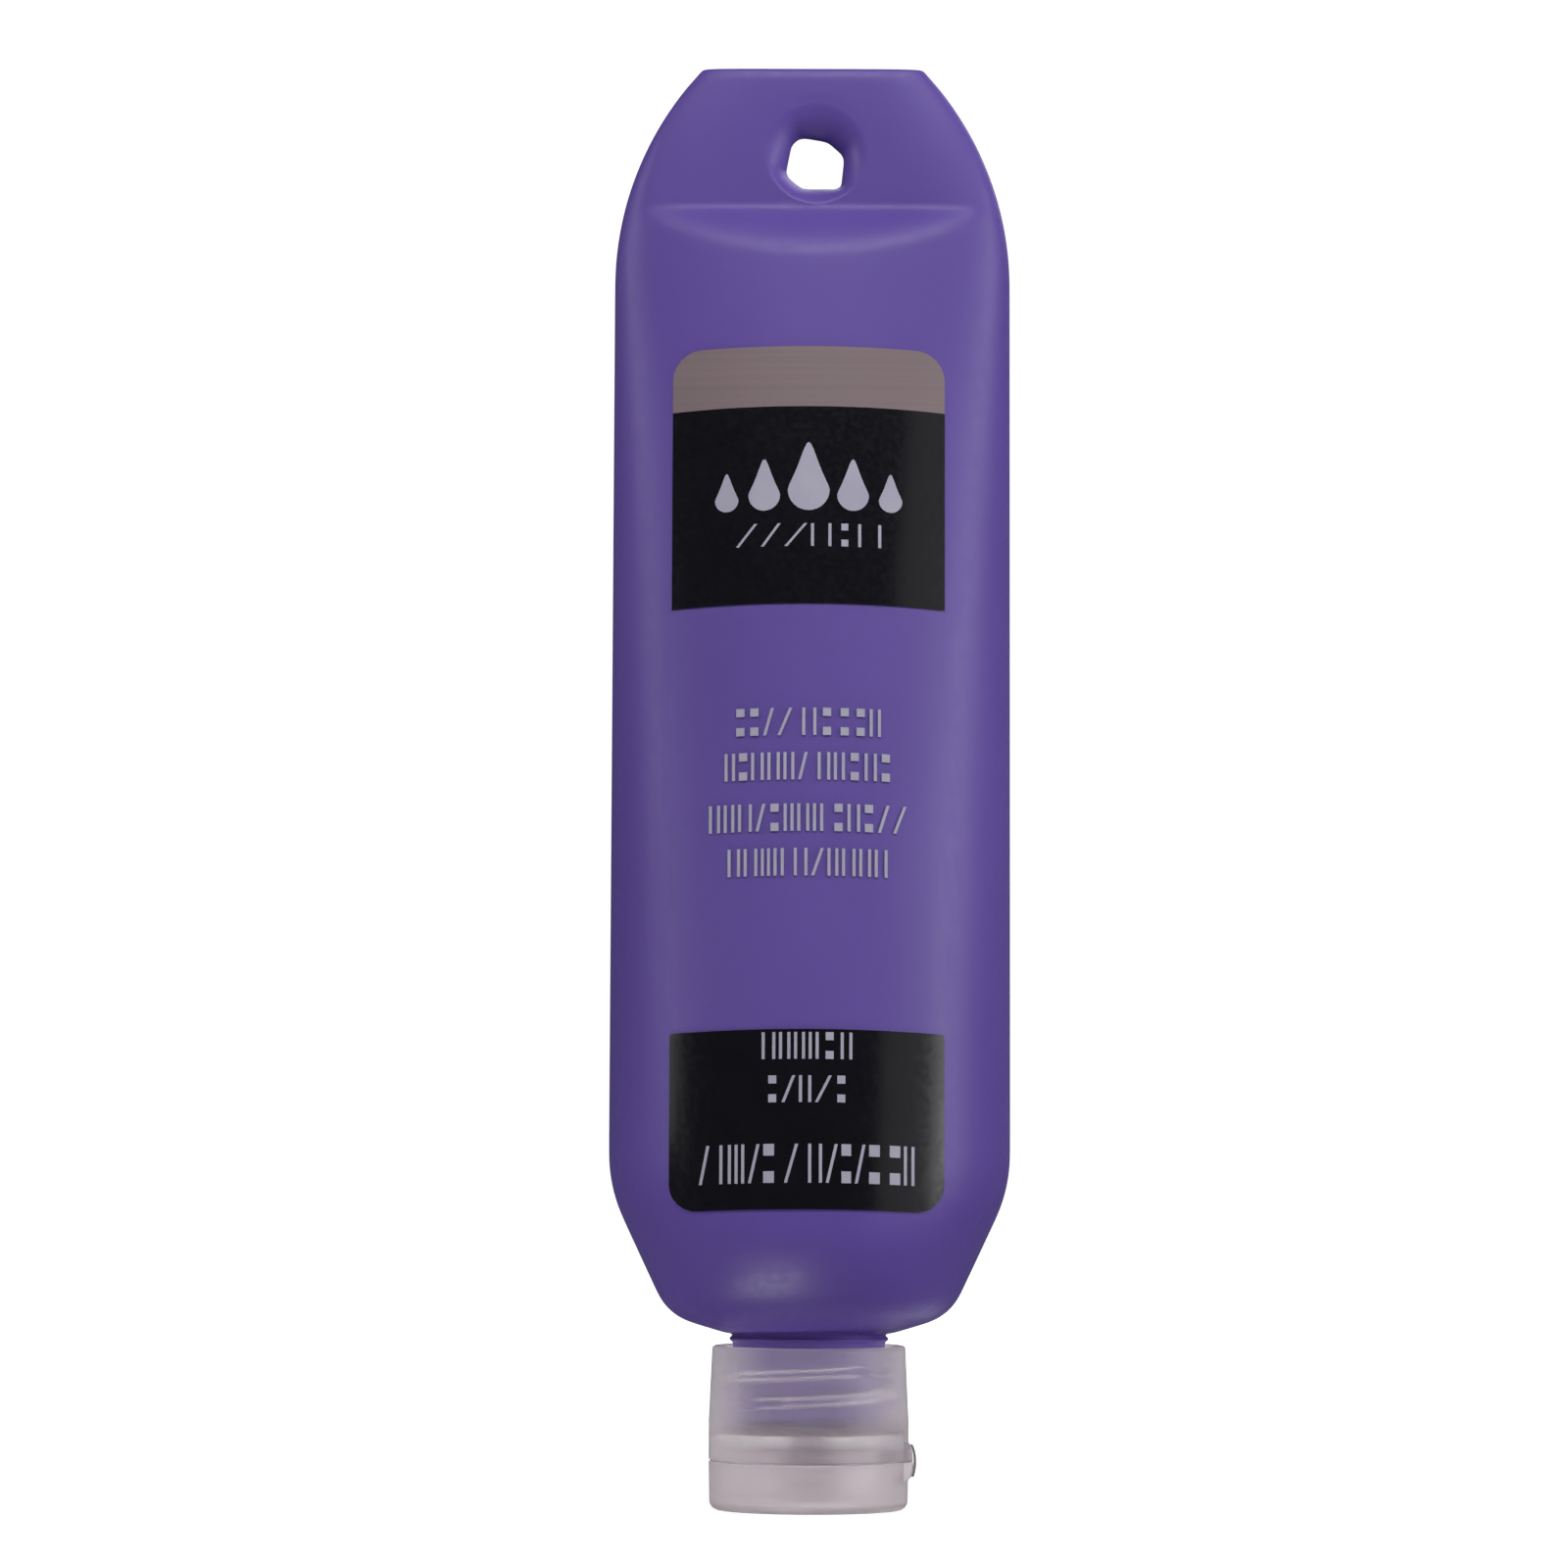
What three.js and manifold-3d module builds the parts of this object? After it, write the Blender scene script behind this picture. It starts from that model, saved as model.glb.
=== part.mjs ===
// A hanging squeeze bottle of fabric paint, 4 fl oz, with its flip-top cap at the foot.
// Millimetres, +Z up. The origin is the middle of the closed lid's flat end, the front
// label faces -Y and the lid's hinge is on +X. The hang tab is at the top.
import * as THREE from "three";
import { mergeVertices } from "three/addons/utils/BufferGeometryUtils.js";
import Module from "manifold-3d";

const wasm = await Module();
wasm.setup();

// ---- Driving dimensions ----

// Bottle, seen from the front: half widths, and the heights where the outline changes.
const TOP_Z = 170.9;
const SIDE_TOP_Z = 144.8;
const SIDE_TOP_HALF = 23.5;
const CROWN_RADIUS = 38; // the arc from the straight side up to the cut-off top
const SHOULDER_Z = 41.9;
const SHOULDER_HALF = 23.75;
const SHOULDER_RADIUS = 18;
const SHOULDER_ANGLE = THREE.MathUtils.degToRad(25); // the shoulder's slope off the vertical
const FOOT_ANGLE = THREE.MathUtils.degToRad(16.6); // the foot's slope off the horizontal
const FOOT_ROUND = 2.2; // how far the round between shoulder and foot reaches each way

// Bottle, seen from the side: nearly round at the shoulder, and flatter upwards along a
// wide arc. The face's own shoulder starts lower than the sides'.
const DEPTH_HALF = 19.3;
const FACE_RADIUS = 670;
const FACE_UPRIGHT_Z = 22.6; // where the face's arc would stand upright
const FACE_SHOULDER_Z = 35.5;
const FACE_DROP_Z = 13; // height over which the face's shoulder turns in
const FACE_DROP = 9.5; // how far it would turn in over a whole quarter
const FOOT_TOP_Z = 24.5; // below this the section grows round towards the neck
const LEDGE_Z = 153.9; // where the ledge meets the hang tab
const LEDGE_SLOPE = 1.15;
const TAB_HALF = 3.5; // half the tab's thickness at the ledge
const TAB_TOP_HALF = 1.9;
const TAB_SEAM = 3; // the solid pinched seam along the top
const WALL = 1;

// Hang hole: an oval hole in a thin web, at the bottom of a dish on each face of the tab.
const HOLE_Z = 159.8;
const HOLE_HALF_X = 3.55;
const HOLE_HALF_Z = 3;
const DISH_Z = 161;
const DISH_RADIUS = 4.3; // at the web
const DISH_SLOPE = 0.48; // how much the dish opens for each millimetre out from the web
const DISH_FLATTEN = 0.96; // its width over its height
const WEB_HALF = 0.5;

// Neck and thread.
const LAND_Z = 10.3; // the neck's open end
const NECK_Z = 20.5; // where the neck meets the foot
const NECK_RADIUS = 9;
const BORE_RADIUS = 7.3;
const PITCH = 3.175;
const THREAD_CREST = 9.9;
const THREAD_START_Z = 11.2;
const THREAD_START_ANGLE = THREE.MathUtils.degToRad(-135);
const THREAD_TURNS = 1.5;
const THREAD_RUN_OUT = 0.35; // radians over which a thread's ends fade away
const CAP_THREAD_CREST = 9.3;
const CAP_THREAD_LIFT = 1.45; // from the neck's thread up to the cap's thread
const CAP_THREAD_TURNS = 1.25;
const THREAD_FOOTING = 0.3; // how deep a thread's root sits in the wall it stands on

// Cap: base and lid meet at the parting line.
const CAP_TOP_Z = 19.3;
const PARTING_Z = 5.8;
const PARTING_GAP = 0.3;
const CAP_RADIUS = 11.8;
const CAP_TOP_RADIUS = 11.4;
const CAP_BORE = 10.15;
const DECK_TOP_Z = 9;
const DECK_Z = 7.7;
const ORIFICE = 1.5;
const SPOUT_TIP_Z = 3.9;
const SPOUT_TIP_RADIUS = 2.7;
const SPOUT_ROOT_RADIUS = 3.4;
const SNAP_RING_Z = 5; // the ring that the lid snaps over
const SNAP_RING_INNER = 8.7;
const SNAP_RING_OUTER = 9.7;
const SKIRT_TOP_Z = 10.5; // the skirt is straight below this, and narrows above it
const CHAMFER = 0.4;
const LID_WALL = 1.2;
const LID_END = 1.2;
const LID_ROUND = 1.1;
const LID_DRAFT = 0.1;
const SEAL_RING_Z = 4.5; // the ring inside the lid that closes round the spout
const SEAL_RING_INNER = 3.3;
const SEAL_RING_OUTER = 4;
const PLUG_RADIUS = 1.15;
const PLUG_TIP_Z = 5.4;

// Lid hinge: a leaf on the base, a leaf on the lid, and a thin film across them.
const HINGE_X = 12.45;
const LEAF_X = 12.2;
const LEAF_ROOT_X = 10.9; // inside both walls
const LEAF_HALF_Y = 3.8;
const LEAF_TALL = 2;
const LEAF_FADE = 0.3; // how far inside the wall's face the leaf ends
const FILM_THICK = 0.25;
const FILM_HALF_Y = 3.4;
const FILM_HALF_Z = 1.2;
const FILM_OFFSET = 0.1; // the film's inner face stands this far inside the hinge's axis

// Liner, paint and labels.
const LINER_INNER = 5.5;
const LINER_OUTER = 9.7;
const LINER_GAP = 0.2;
const PAINT_GAP = 0.3;
const PAINT_TOP_Z = 134.2; // 118 ml of paint up to here, and air above it
const LABEL_HALF_WIDTH = 16;
const LABEL_BOTTOM_Z = 35.7;
const LABEL_TOP_Z = 137.4;
const LABEL_CORNER = 3.3;
const LABEL_GAP = 0.12;
const LABEL_THICK = 0.18;

// How finely the round shapes are divided.
const BODY_SIDES = 44;
const CAP_SIDES = 36;
const ARC_STEPS = 3;
const SIDE_STEPS = 5;
const HOLE_SIDES = 32;
const THREAD_STEPS_PER_TURN = 24;

const FAR = 30; // past the outside of everything that is cut

// ---- Shape helpers ----

// A closed three.js geometry as a solid that can be joined and cut.
function solidOf(geometry) {
  const plain = geometry.index ? geometry.toNonIndexed() : geometry.clone();
  plain.deleteAttribute("normal");
  plain.deleteAttribute("uv");
  const merged = mergeVertices(plain, 1e-4);
  const vertProperties = merged.attributes.position.array;
  const triVerts = new Uint32Array(merged.index.array);
  return new wasm.Manifold(new wasm.Mesh({ numProp: 3, vertProperties, triVerts }));
}

// A solid as a named mesh.
function meshOf(name, solid, material) {
  const { numProp, numVert, vertProperties, triVerts } = solid.getMesh();
  const positions = new Float32Array(numVert * 3);
  for (let i = 0; i < numVert; i += 1) {
    positions.set(vertProperties.subarray(i * numProp, i * numProp + 3), i * 3);
  }
  const geometry = new THREE.BufferGeometry();
  geometry.setAttribute("position", new THREE.BufferAttribute(positions, 3));
  geometry.setIndex(new THREE.BufferAttribute(triVerts, 1));
  geometry.computeVertexNormals();
  const mesh = new THREE.Mesh(geometry, material);
  mesh.name = name;
  return mesh;
}

// Moves each vertex of a geometry with a function from a vector to itself, changed.
function reshape(geometry, move) {
  const position = geometry.attributes.position;
  const vertex = new THREE.Vector3();
  for (let i = 0; i < position.count; i += 1) {
    move(vertex.fromBufferAttribute(position, i));
    position.setXYZ(i, vertex.x, vertex.y, vertex.z);
  }
  return geometry;
}

// Turns a profile of (radius, height) points round the Z axis.
function revolve(points, sides) {
  const profile = points.map(([radius, z]) => new THREE.Vector2(radius, z));
  return new THREE.LatheGeometry(profile, sides).rotateX(Math.PI / 2);
}

// Pushes an outline of (y, z) points along X, from -half to half.
function extrudeAlongX(points, half) {
  const outline = new THREE.Shape(points.map(([y, z]) => new THREE.Vector2(y, z)));
  const turned = new THREE.Matrix4().makeBasis(
    new THREE.Vector3(0, 1, 0),
    new THREE.Vector3(0, 0, 1),
    new THREE.Vector3(1, 0, 0),
  );
  return new THREE.ExtrudeGeometry(outline, { depth: 2 * half, bevelEnabled: false })
    .translate(0, 0, -half)
    .applyMatrix4(turned);
}

// Pushes an outline of (x, z) along Y, from low to high.
function extrudeAlongY(outline, low, high) {
  const depth = high - low;
  return new THREE.ExtrudeGeometry(outline, { depth, bevelEnabled: false, curveSegments: 6 })
    .rotateX(Math.PI / 2)
    .translate(0, high, 0);
}

// A ridge of trapezoid section that winds round Z as a right-hand thread. Radii run from
// its root, which lies inside the wall it stands on, to its crest.
function threadRidge({ root, crest, rootWidth, crestWidth, startZ, startAngle, turns }) {
  const sweep = turns * 2 * Math.PI;
  const section = new THREE.Shape([
    new THREE.Vector2(root, -rootWidth / 2),
    new THREE.Vector2(crest, -crestWidth / 2),
    new THREE.Vector2(crest, crestWidth / 2),
    new THREE.Vector2(root, rootWidth / 2),
  ]);
  const steps = Math.round(turns * THREAD_STEPS_PER_TURN);
  const straight = new THREE.ExtrudeGeometry(section, { depth: 1, steps, bevelEnabled: false });
  return reshape(straight, (v) => {
    const along = (1 - v.z) * sweep;
    const fade = THREE.MathUtils.clamp(Math.min(along, sweep - along) / THREAD_RUN_OUT, 0.1, 1);
    const radius = root + (v.x - root) * fade;
    const angle = startAngle + along;
    const z = startZ + v.y + (PITCH * along) / (2 * Math.PI);
    v.set(radius * Math.cos(angle), radius * Math.sin(angle), z);
  });
}

// ---- Bottle shape ----

// Draws a straight line in several steps, so that the form can bend between its ends.
function addLine(path, endX, endZ, steps) {
  const start = path.currentPoint.clone();
  for (let i = 1; i <= steps; i += 1) {
    path.lineTo(
      THREE.MathUtils.lerp(start.x, endX, i / steps),
      THREE.MathUtils.lerp(start.y, endZ, i / steps),
    );
  }
}

// The bottle's outline from the front, from the axis at its open end, out and up to the
// axis at its top. It is drawn inside the outer surface by the inset.
function bottleOutline(inset, neckRadius, bottomZ, topZ) {
  const sin = Math.sin(SHOULDER_ANGLE);
  const cos = Math.cos(SHOULDER_ANGLE);
  const footSlope = Math.tan(FOOT_ANGLE);
  const footZ = (x) => NECK_Z + (x - NECK_RADIUS) * footSlope + inset / Math.cos(FOOT_ANGLE);
  const arc = SHOULDER_RADIUS - inset;
  const arcX = SHOULDER_HALF - SHOULDER_RADIUS;
  const slopeX = arcX + arc * cos;
  const slopeZ = SHOULDER_Z - arc * sin;
  const run = (slopeZ - footZ(slopeX)) / (cos - sin * footSlope);
  const cornerX = slopeX - run * sin;
  const cornerZ = slopeZ - run * cos;
  const crownX = SIDE_TOP_HALF - CROWN_RADIUS;
  const crownAngle = Math.asin((topZ - SIDE_TOP_Z) / (CROWN_RADIUS - inset));

  const outline = new THREE.Path();
  outline.moveTo(0, bottomZ);
  outline.lineTo(neckRadius, bottomZ);
  outline.lineTo(neckRadius, footZ(neckRadius));
  outline.lineTo(cornerX - FOOT_ROUND, footZ(cornerX - FOOT_ROUND));
  outline.quadraticCurveTo(cornerX, cornerZ, cornerX + FOOT_ROUND * sin, cornerZ + FOOT_ROUND * cos);
  addLine(outline, slopeX, slopeZ, 2);
  outline.absarc(arcX, SHOULDER_Z, arc, -SHOULDER_ANGLE, 0, false);
  addLine(outline, SIDE_TOP_HALF - inset, SIDE_TOP_Z, SIDE_STEPS);
  outline.absarc(crownX, SIDE_TOP_Z, CROWN_RADIUS - inset, 0, crownAngle, false);
  outline.lineTo(0, topZ);
  return outline.getPoints(ARC_STEPS).map((point) => [point.x, point.y]);
}

// How far the front face stands from the middle plane at a height.
function faceReach(z) {
  const arc = FACE_RADIUS - Math.sqrt(FACE_RADIUS ** 2 - (z - FACE_UPRIGHT_Z) ** 2);
  const turned = THREE.MathUtils.clamp((FACE_SHOULDER_Z - z) / FACE_DROP_Z, 0, 0.9);
  return DEPTH_HALF - arc - FACE_DROP * (1 - Math.sqrt(1 - turned ** 2));
}

// The bottle's form without its ledge: the outline turned round, then pressed flat from
// front to back. The neck stays round.
function pressedForm(inset, neckRadius, bottomZ, topZ) {
  const form = revolve(bottleOutline(inset, neckRadius, bottomZ, topZ), BODY_SIDES);
  const footTop = SHOULDER_HALF - SHOULDER_RADIUS + (SHOULDER_RADIUS - inset) * Math.cos(SHOULDER_ANGLE);
  const fall = SHOULDER_Z - (SHOULDER_RADIUS - inset) * Math.sin(SHOULDER_ANGLE) - FOOT_TOP_Z;
  const footHalf = footTop - fall * Math.tan(SHOULDER_ANGLE);
  const footShare = (faceReach(FOOT_TOP_Z) - inset) / footHalf;
  reshape(form, (v) => {
    const radius = Math.hypot(v.x, v.y);
    if (v.z > FOOT_TOP_Z && radius > 0) {
      v.y *= (faceReach(v.z) - inset) / radius;
    } else {
      const pressed = THREE.MathUtils.clamp((radius - NECK_RADIUS) / (footHalf - NECK_RADIUS), 0, 1);
      v.y *= THREE.MathUtils.lerp(1, footShare, pressed);
    }
  });
  return solidOf(form);
}

// What the ledge and the tab leave of that form, seen from the side.
function ledgeProfile(inset) {
  const tab = TAB_HALF - inset;
  const ledgeZ = LEDGE_Z + LEDGE_SLOPE * inset - inset * Math.hypot(1, LEDGE_SLOPE);
  const farZ = ledgeZ - (FAR - tab) * LEDGE_SLOPE;
  const front = [
    [FAR, 0],
    [FAR, farZ],
    [tab, ledgeZ],
    [TAB_TOP_HALF - inset, TOP_Z],
  ];
  const back = front.map(([y, z]) => [-y, z]).reverse();
  return solidOf(extrudeAlongX([...front, ...back], FAR));
}

// The hang hole's dishes, one on each face, larger all round by the margin.
function dishes(margin) {
  const reach = 9;
  const rim = DISH_RADIUS + DISH_SLOPE * (reach - WEB_HALF);
  const hourglass = revolve(
    [
      [0, -reach],
      [rim + margin, -reach],
      [DISH_RADIUS + margin, -WEB_HALF],
      [DISH_RADIUS + margin, WEB_HALF],
      [rim + margin, reach],
      [0, reach],
    ],
    CAP_SIDES,
  );
  return solidOf(hourglass.rotateX(Math.PI / 2).scale(DISH_FLATTEN, 1, 1).translate(0, 0, DISH_Z));
}

function webHole() {
  const drill = new THREE.CylinderGeometry(1, 1, 4 * WEB_HALF, HOLE_SIDES);
  return solidOf(drill.scale(HOLE_HALF_X, 1, HOLE_HALF_Z).translate(0, 0, HOLE_Z));
}

// The web is what the dishes leave in the middle of the tab.
function hangHole() {
  const web = new THREE.BoxGeometry(FAR, 2 * WEB_HALF, FAR).translate(0, 0, DISH_Z);
  return dishes(0).subtract(solidOf(web)).add(webHole());
}

// ---- Sub-parts ----

function makeBottle(material) {
  const outer = pressedForm(0, NECK_RADIUS, LAND_Z, TOP_Z).intersect(ledgeProfile(0));
  const cavityTop = TOP_Z - TAB_SEAM;
  const cavity = pressedForm(WALL, BORE_RADIUS, LAND_Z - 1, cavityTop).intersect(ledgeProfile(WALL));
  const thread = threadRidge({
    root: NECK_RADIUS - THREAD_FOOTING,
    crest: THREAD_CREST,
    rootWidth: 2,
    crestWidth: 0.9,
    startZ: THREAD_START_Z,
    startAngle: THREAD_START_ANGLE,
    turns: THREAD_TURNS,
  });
  const shell = outer.add(solidOf(thread)).subtract(cavity.subtract(dishes(WALL)));
  return meshOf("bottle", shell.subtract(hangHole()), material);
}

function makePaint(material) {
  const inset = WALL + PAINT_GAP;
  const form = pressedForm(inset, BORE_RADIUS - PAINT_GAP, LAND_Z + PAINT_GAP, SIDE_TOP_Z + 1);
  const below = new THREE.BoxGeometry(2 * FAR, 2 * FAR, PAINT_TOP_Z).translate(0, 0, PAINT_TOP_Z / 2);
  return meshOf("paint_fill", form.intersect(solidOf(below)), material);
}

function makeLiner(material) {
  const low = DECK_TOP_Z + LINER_GAP;
  const high = LAND_Z - LINER_GAP;
  const ring = [
    [LINER_INNER, low],
    [LINER_OUTER, low],
    [LINER_OUTER, high],
    [LINER_INNER, high],
    [LINER_INNER, low],
  ];
  return meshOf("seal_liner", solidOf(revolve(ring, CAP_SIDES)), material);
}

// One leaf of the hinge: a block that grows out of the wall and fades into it. Its wide
// end is at the parting line and it runs up or down from there.
function hingeLeaf(direction) {
  const wideZ = PARTING_Z + direction * (PARTING_GAP / 2);
  const endZ = wideZ + direction * LEAF_TALL;
  const outline = new THREE.Shape();
  outline.moveTo(LEAF_ROOT_X, wideZ);
  outline.lineTo(LEAF_X, wideZ);
  outline.quadraticCurveTo(LEAF_X, endZ, CAP_RADIUS - LEAF_FADE, endZ);
  outline.lineTo(LEAF_ROOT_X, endZ);
  return solidOf(extrudeAlongY(outline, -LEAF_HALF_Y, LEAF_HALF_Y));
}

function makeCapBase(material) {
  const rimZ = PARTING_Z + PARTING_GAP / 2;
  const body = revolve(
    [
      [ORIFICE, SPOUT_TIP_Z],
      [SPOUT_TIP_RADIUS - CHAMFER, SPOUT_TIP_Z],
      [SPOUT_TIP_RADIUS, SPOUT_TIP_Z + CHAMFER],
      [SPOUT_ROOT_RADIUS, DECK_Z],
      [SNAP_RING_INNER, DECK_Z],
      [SNAP_RING_INNER, SNAP_RING_Z],
      [SNAP_RING_OUTER - CHAMFER, SNAP_RING_Z],
      [SNAP_RING_OUTER, SNAP_RING_Z + CHAMFER],
      [SNAP_RING_OUTER, rimZ],
      [CAP_RADIUS, rimZ],
      [CAP_RADIUS, SKIRT_TOP_Z],
      [CAP_TOP_RADIUS, CAP_TOP_Z - CHAMFER],
      [CAP_TOP_RADIUS - CHAMFER, CAP_TOP_Z],
      [CAP_BORE + CHAMFER, CAP_TOP_Z],
      [CAP_BORE, CAP_TOP_Z - CHAMFER],
      [CAP_BORE, DECK_TOP_Z],
      [ORIFICE, DECK_TOP_Z],
      [ORIFICE, SPOUT_TIP_Z],
    ],
    CAP_SIDES,
  );
  const thread = threadRidge({
    root: CAP_BORE + THREAD_FOOTING,
    crest: CAP_THREAD_CREST,
    rootWidth: 1.7,
    crestWidth: 0.7,
    startZ: THREAD_START_Z + CAP_THREAD_LIFT,
    startAngle: THREAD_START_ANGLE,
    turns: CAP_THREAD_TURNS,
  });
  return meshOf("cap_base", solidOf(body).add(solidOf(thread)).add(hingeLeaf(1)), material);
}

function makeCapLid(material) {
  const rimZ = PARTING_Z - PARTING_GAP / 2;
  const inner = CAP_RADIUS - LID_WALL;
  const outline = new THREE.Path();
  outline.moveTo(0, 0);
  outline.lineTo(CAP_RADIUS - LID_ROUND, 0);
  outline.quadraticCurveTo(CAP_RADIUS - LID_DRAFT, 0, CAP_RADIUS - LID_DRAFT, LID_ROUND);
  outline.lineTo(CAP_RADIUS, rimZ);
  outline.lineTo(inner, rimZ);
  outline.lineTo(inner, LID_END);
  outline.lineTo(SEAL_RING_OUTER, LID_END);
  outline.lineTo(SEAL_RING_OUTER, SEAL_RING_Z);
  outline.lineTo(SEAL_RING_INNER, SEAL_RING_Z);
  outline.lineTo(SEAL_RING_INNER, LID_END);
  outline.lineTo(PLUG_RADIUS, LID_END);
  outline.lineTo(PLUG_RADIUS, PLUG_TIP_Z - CHAMFER);
  outline.lineTo(PLUG_RADIUS - CHAMFER, PLUG_TIP_Z);
  outline.lineTo(0, PLUG_TIP_Z);
  const body = revolve(outline.getPoints(ARC_STEPS).map((point) => [point.x, point.y]), CAP_SIDES);
  return meshOf("cap_lid", solidOf(body).add(hingeLeaf(-1)), material);
}

function makeLivingHinge(material) {
  const film = new THREE.BoxGeometry(FILM_THICK, 2 * FILM_HALF_Y, 2 * FILM_HALF_Z);
  const mesh = new THREE.Mesh(film, material);
  mesh.name = "living_hinge";
  mesh.position.set(HINGE_X + FILM_THICK / 2 - FILM_OFFSET, 0, PARTING_Z);
  return mesh;
}

// A label film that follows the face it is stuck to. The side is -1 at the front.
function makeLabel(name, side, material) {
  const w = LABEL_HALF_WIDTH;
  const r = LABEL_CORNER;
  const outline = new THREE.Shape();
  outline.moveTo(-w + r, LABEL_BOTTOM_Z);
  outline.lineTo(w - r, LABEL_BOTTOM_Z);
  outline.quadraticCurveTo(w, LABEL_BOTTOM_Z, w, LABEL_BOTTOM_Z + r);
  outline.lineTo(w, LABEL_TOP_Z - r);
  outline.quadraticCurveTo(w, LABEL_TOP_Z, w - r, LABEL_TOP_Z);
  outline.lineTo(-w + r, LABEL_TOP_Z);
  outline.quadraticCurveTo(-w, LABEL_TOP_Z, -w, LABEL_TOP_Z - r);
  outline.lineTo(-w, LABEL_BOTTOM_Z + r);
  outline.quadraticCurveTo(-w, LABEL_BOTTOM_Z, -w + r, LABEL_BOTTOM_Z);
  const cutter = side < 0 ? extrudeAlongY(outline, -FAR, -1) : extrudeAlongY(outline, 1, FAR);
  const outer = pressedForm(-LABEL_GAP - LABEL_THICK, NECK_RADIUS, LAND_Z, TOP_Z);
  const inner = pressedForm(-LABEL_GAP, NECK_RADIUS, LAND_Z - 1, TOP_Z + 1);
  return meshOf(name, outer.subtract(inner).intersect(solidOf(cutter)), material);
}

// ---- Assembly ----

const purplePlastic = new THREE.MeshStandardMaterial({ color: 0x5f4b90, roughness: 0.5, metalness: 0 });
const purplePaint = new THREE.MeshStandardMaterial({ color: 0x54398c, roughness: 0.3, metalness: 0 });
const frostedPlastic = new THREE.MeshStandardMaterial({ color: 0xa59ba0, roughness: 0.5, metalness: 0 });
const linerFoam = new THREE.MeshStandardMaterial({ color: 0x72687a, roughness: 0.9, metalness: 0 });
const labelFilm = new THREE.MeshStandardMaterial({ color: 0x14121a, roughness: 0.4, metalness: 0 });

const bottle = new THREE.Group();
bottle.add(makeBottle(purplePlastic));
bottle.add(makePaint(purplePaint));
bottle.add(makeLabel("front_label", -1, labelFilm));
bottle.add(makeLabel("back_label", 1, labelFilm));

const cap = new THREE.Group();
cap.add(makeLiner(linerFoam));
cap.add(makeCapBase(frostedPlastic));
cap.add(makeLivingHinge(frostedPlastic));
cap.add(makeCapLid(frostedPlastic));

const paintBottle = new THREE.Group();
paintBottle.add(bottle, cap);

export default paintBottle;
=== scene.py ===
"""A hanging squeeze bottle of fabric paint, with its flip-top cap at the foot.

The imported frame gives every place: the bottle stands on the closed lid, its front label
faces -Y and the lid's hinge is on +X. Everything is in metres, and MM turns millimetres
into metres. The bottle, its labels, the cap, the liner and the paint are built here as
smooth, detailed pieces that stand for the plain solids of the frame.
"""

from __future__ import annotations

import logging
import math
import random
from collections.abc import Callable, Iterable, Sequence
from dataclasses import dataclass, field
from enum import Enum

import bmesh
import bpy
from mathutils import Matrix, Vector

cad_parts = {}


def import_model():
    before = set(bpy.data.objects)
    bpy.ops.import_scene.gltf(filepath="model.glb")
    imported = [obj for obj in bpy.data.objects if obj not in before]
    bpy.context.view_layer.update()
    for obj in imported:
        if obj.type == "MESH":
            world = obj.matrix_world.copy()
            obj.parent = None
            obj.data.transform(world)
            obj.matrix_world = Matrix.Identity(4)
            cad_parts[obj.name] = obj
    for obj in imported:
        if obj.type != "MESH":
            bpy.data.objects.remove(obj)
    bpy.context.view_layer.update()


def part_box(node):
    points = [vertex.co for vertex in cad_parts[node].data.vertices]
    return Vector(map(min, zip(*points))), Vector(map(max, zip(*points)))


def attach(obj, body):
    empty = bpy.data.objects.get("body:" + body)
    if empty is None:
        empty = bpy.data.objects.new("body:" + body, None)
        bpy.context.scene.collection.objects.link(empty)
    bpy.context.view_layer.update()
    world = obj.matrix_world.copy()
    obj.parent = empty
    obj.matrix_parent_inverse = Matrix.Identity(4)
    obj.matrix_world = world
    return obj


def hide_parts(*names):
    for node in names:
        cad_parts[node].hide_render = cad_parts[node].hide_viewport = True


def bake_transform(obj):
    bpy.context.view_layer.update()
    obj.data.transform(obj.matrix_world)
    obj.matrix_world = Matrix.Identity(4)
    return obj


MM = 0.001
FULL_TURN = 2 * math.pi
WELD = 1e-7
LOG = logging.getLogger("paint_bottle")

Point = tuple[float, float]
Corner = tuple[float, float, float]
Colour = tuple[float, float, float]
Mesh = bmesh.types.BMesh
Material = bpy.types.Material
Item = bpy.types.Object
Socket = bpy.types.NodeSocket


class Side(Enum):
    """The bottle's two faces, by the sign of Y."""

    FRONT = -1
    BACK = 1


# ---- Mesh tools ----


def arc(centre: Point, radius: float, start: float, end: float, steps: int) -> list[Point]:
    """Points along an arc in the (radius, height) plane.

    Args:
        centre: The arc's centre.
        radius: The arc's radius.
        start: Angle of the first point, in radians from the first axis.
        end: Angle of the last point.
        steps: How many pieces the arc is cut into.

    Returns:
        steps + 1 points.
    """
    turns = [start + (end - start) * i / steps for i in range(steps + 1)]
    return [(centre[0] + radius * math.cos(t), centre[1] + radius * math.sin(t)) for t in turns]


def line(start: Point, end: Point, pitch: float) -> list[Point]:
    """Points from start to end, about a pitch apart, with both ends.

    Args:
        start: The first point.
        end: The last point.
        pitch: The distance aimed at.

    Returns:
        The points.
    """
    steps = max(1, round(math.dist(start, end) / pitch))
    return [
        (start[0] + (end[0] - start[0]) * i / steps, start[1] + (end[1] - start[1]) * i / steps)
        for i in range(steps + 1)
    ]


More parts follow.
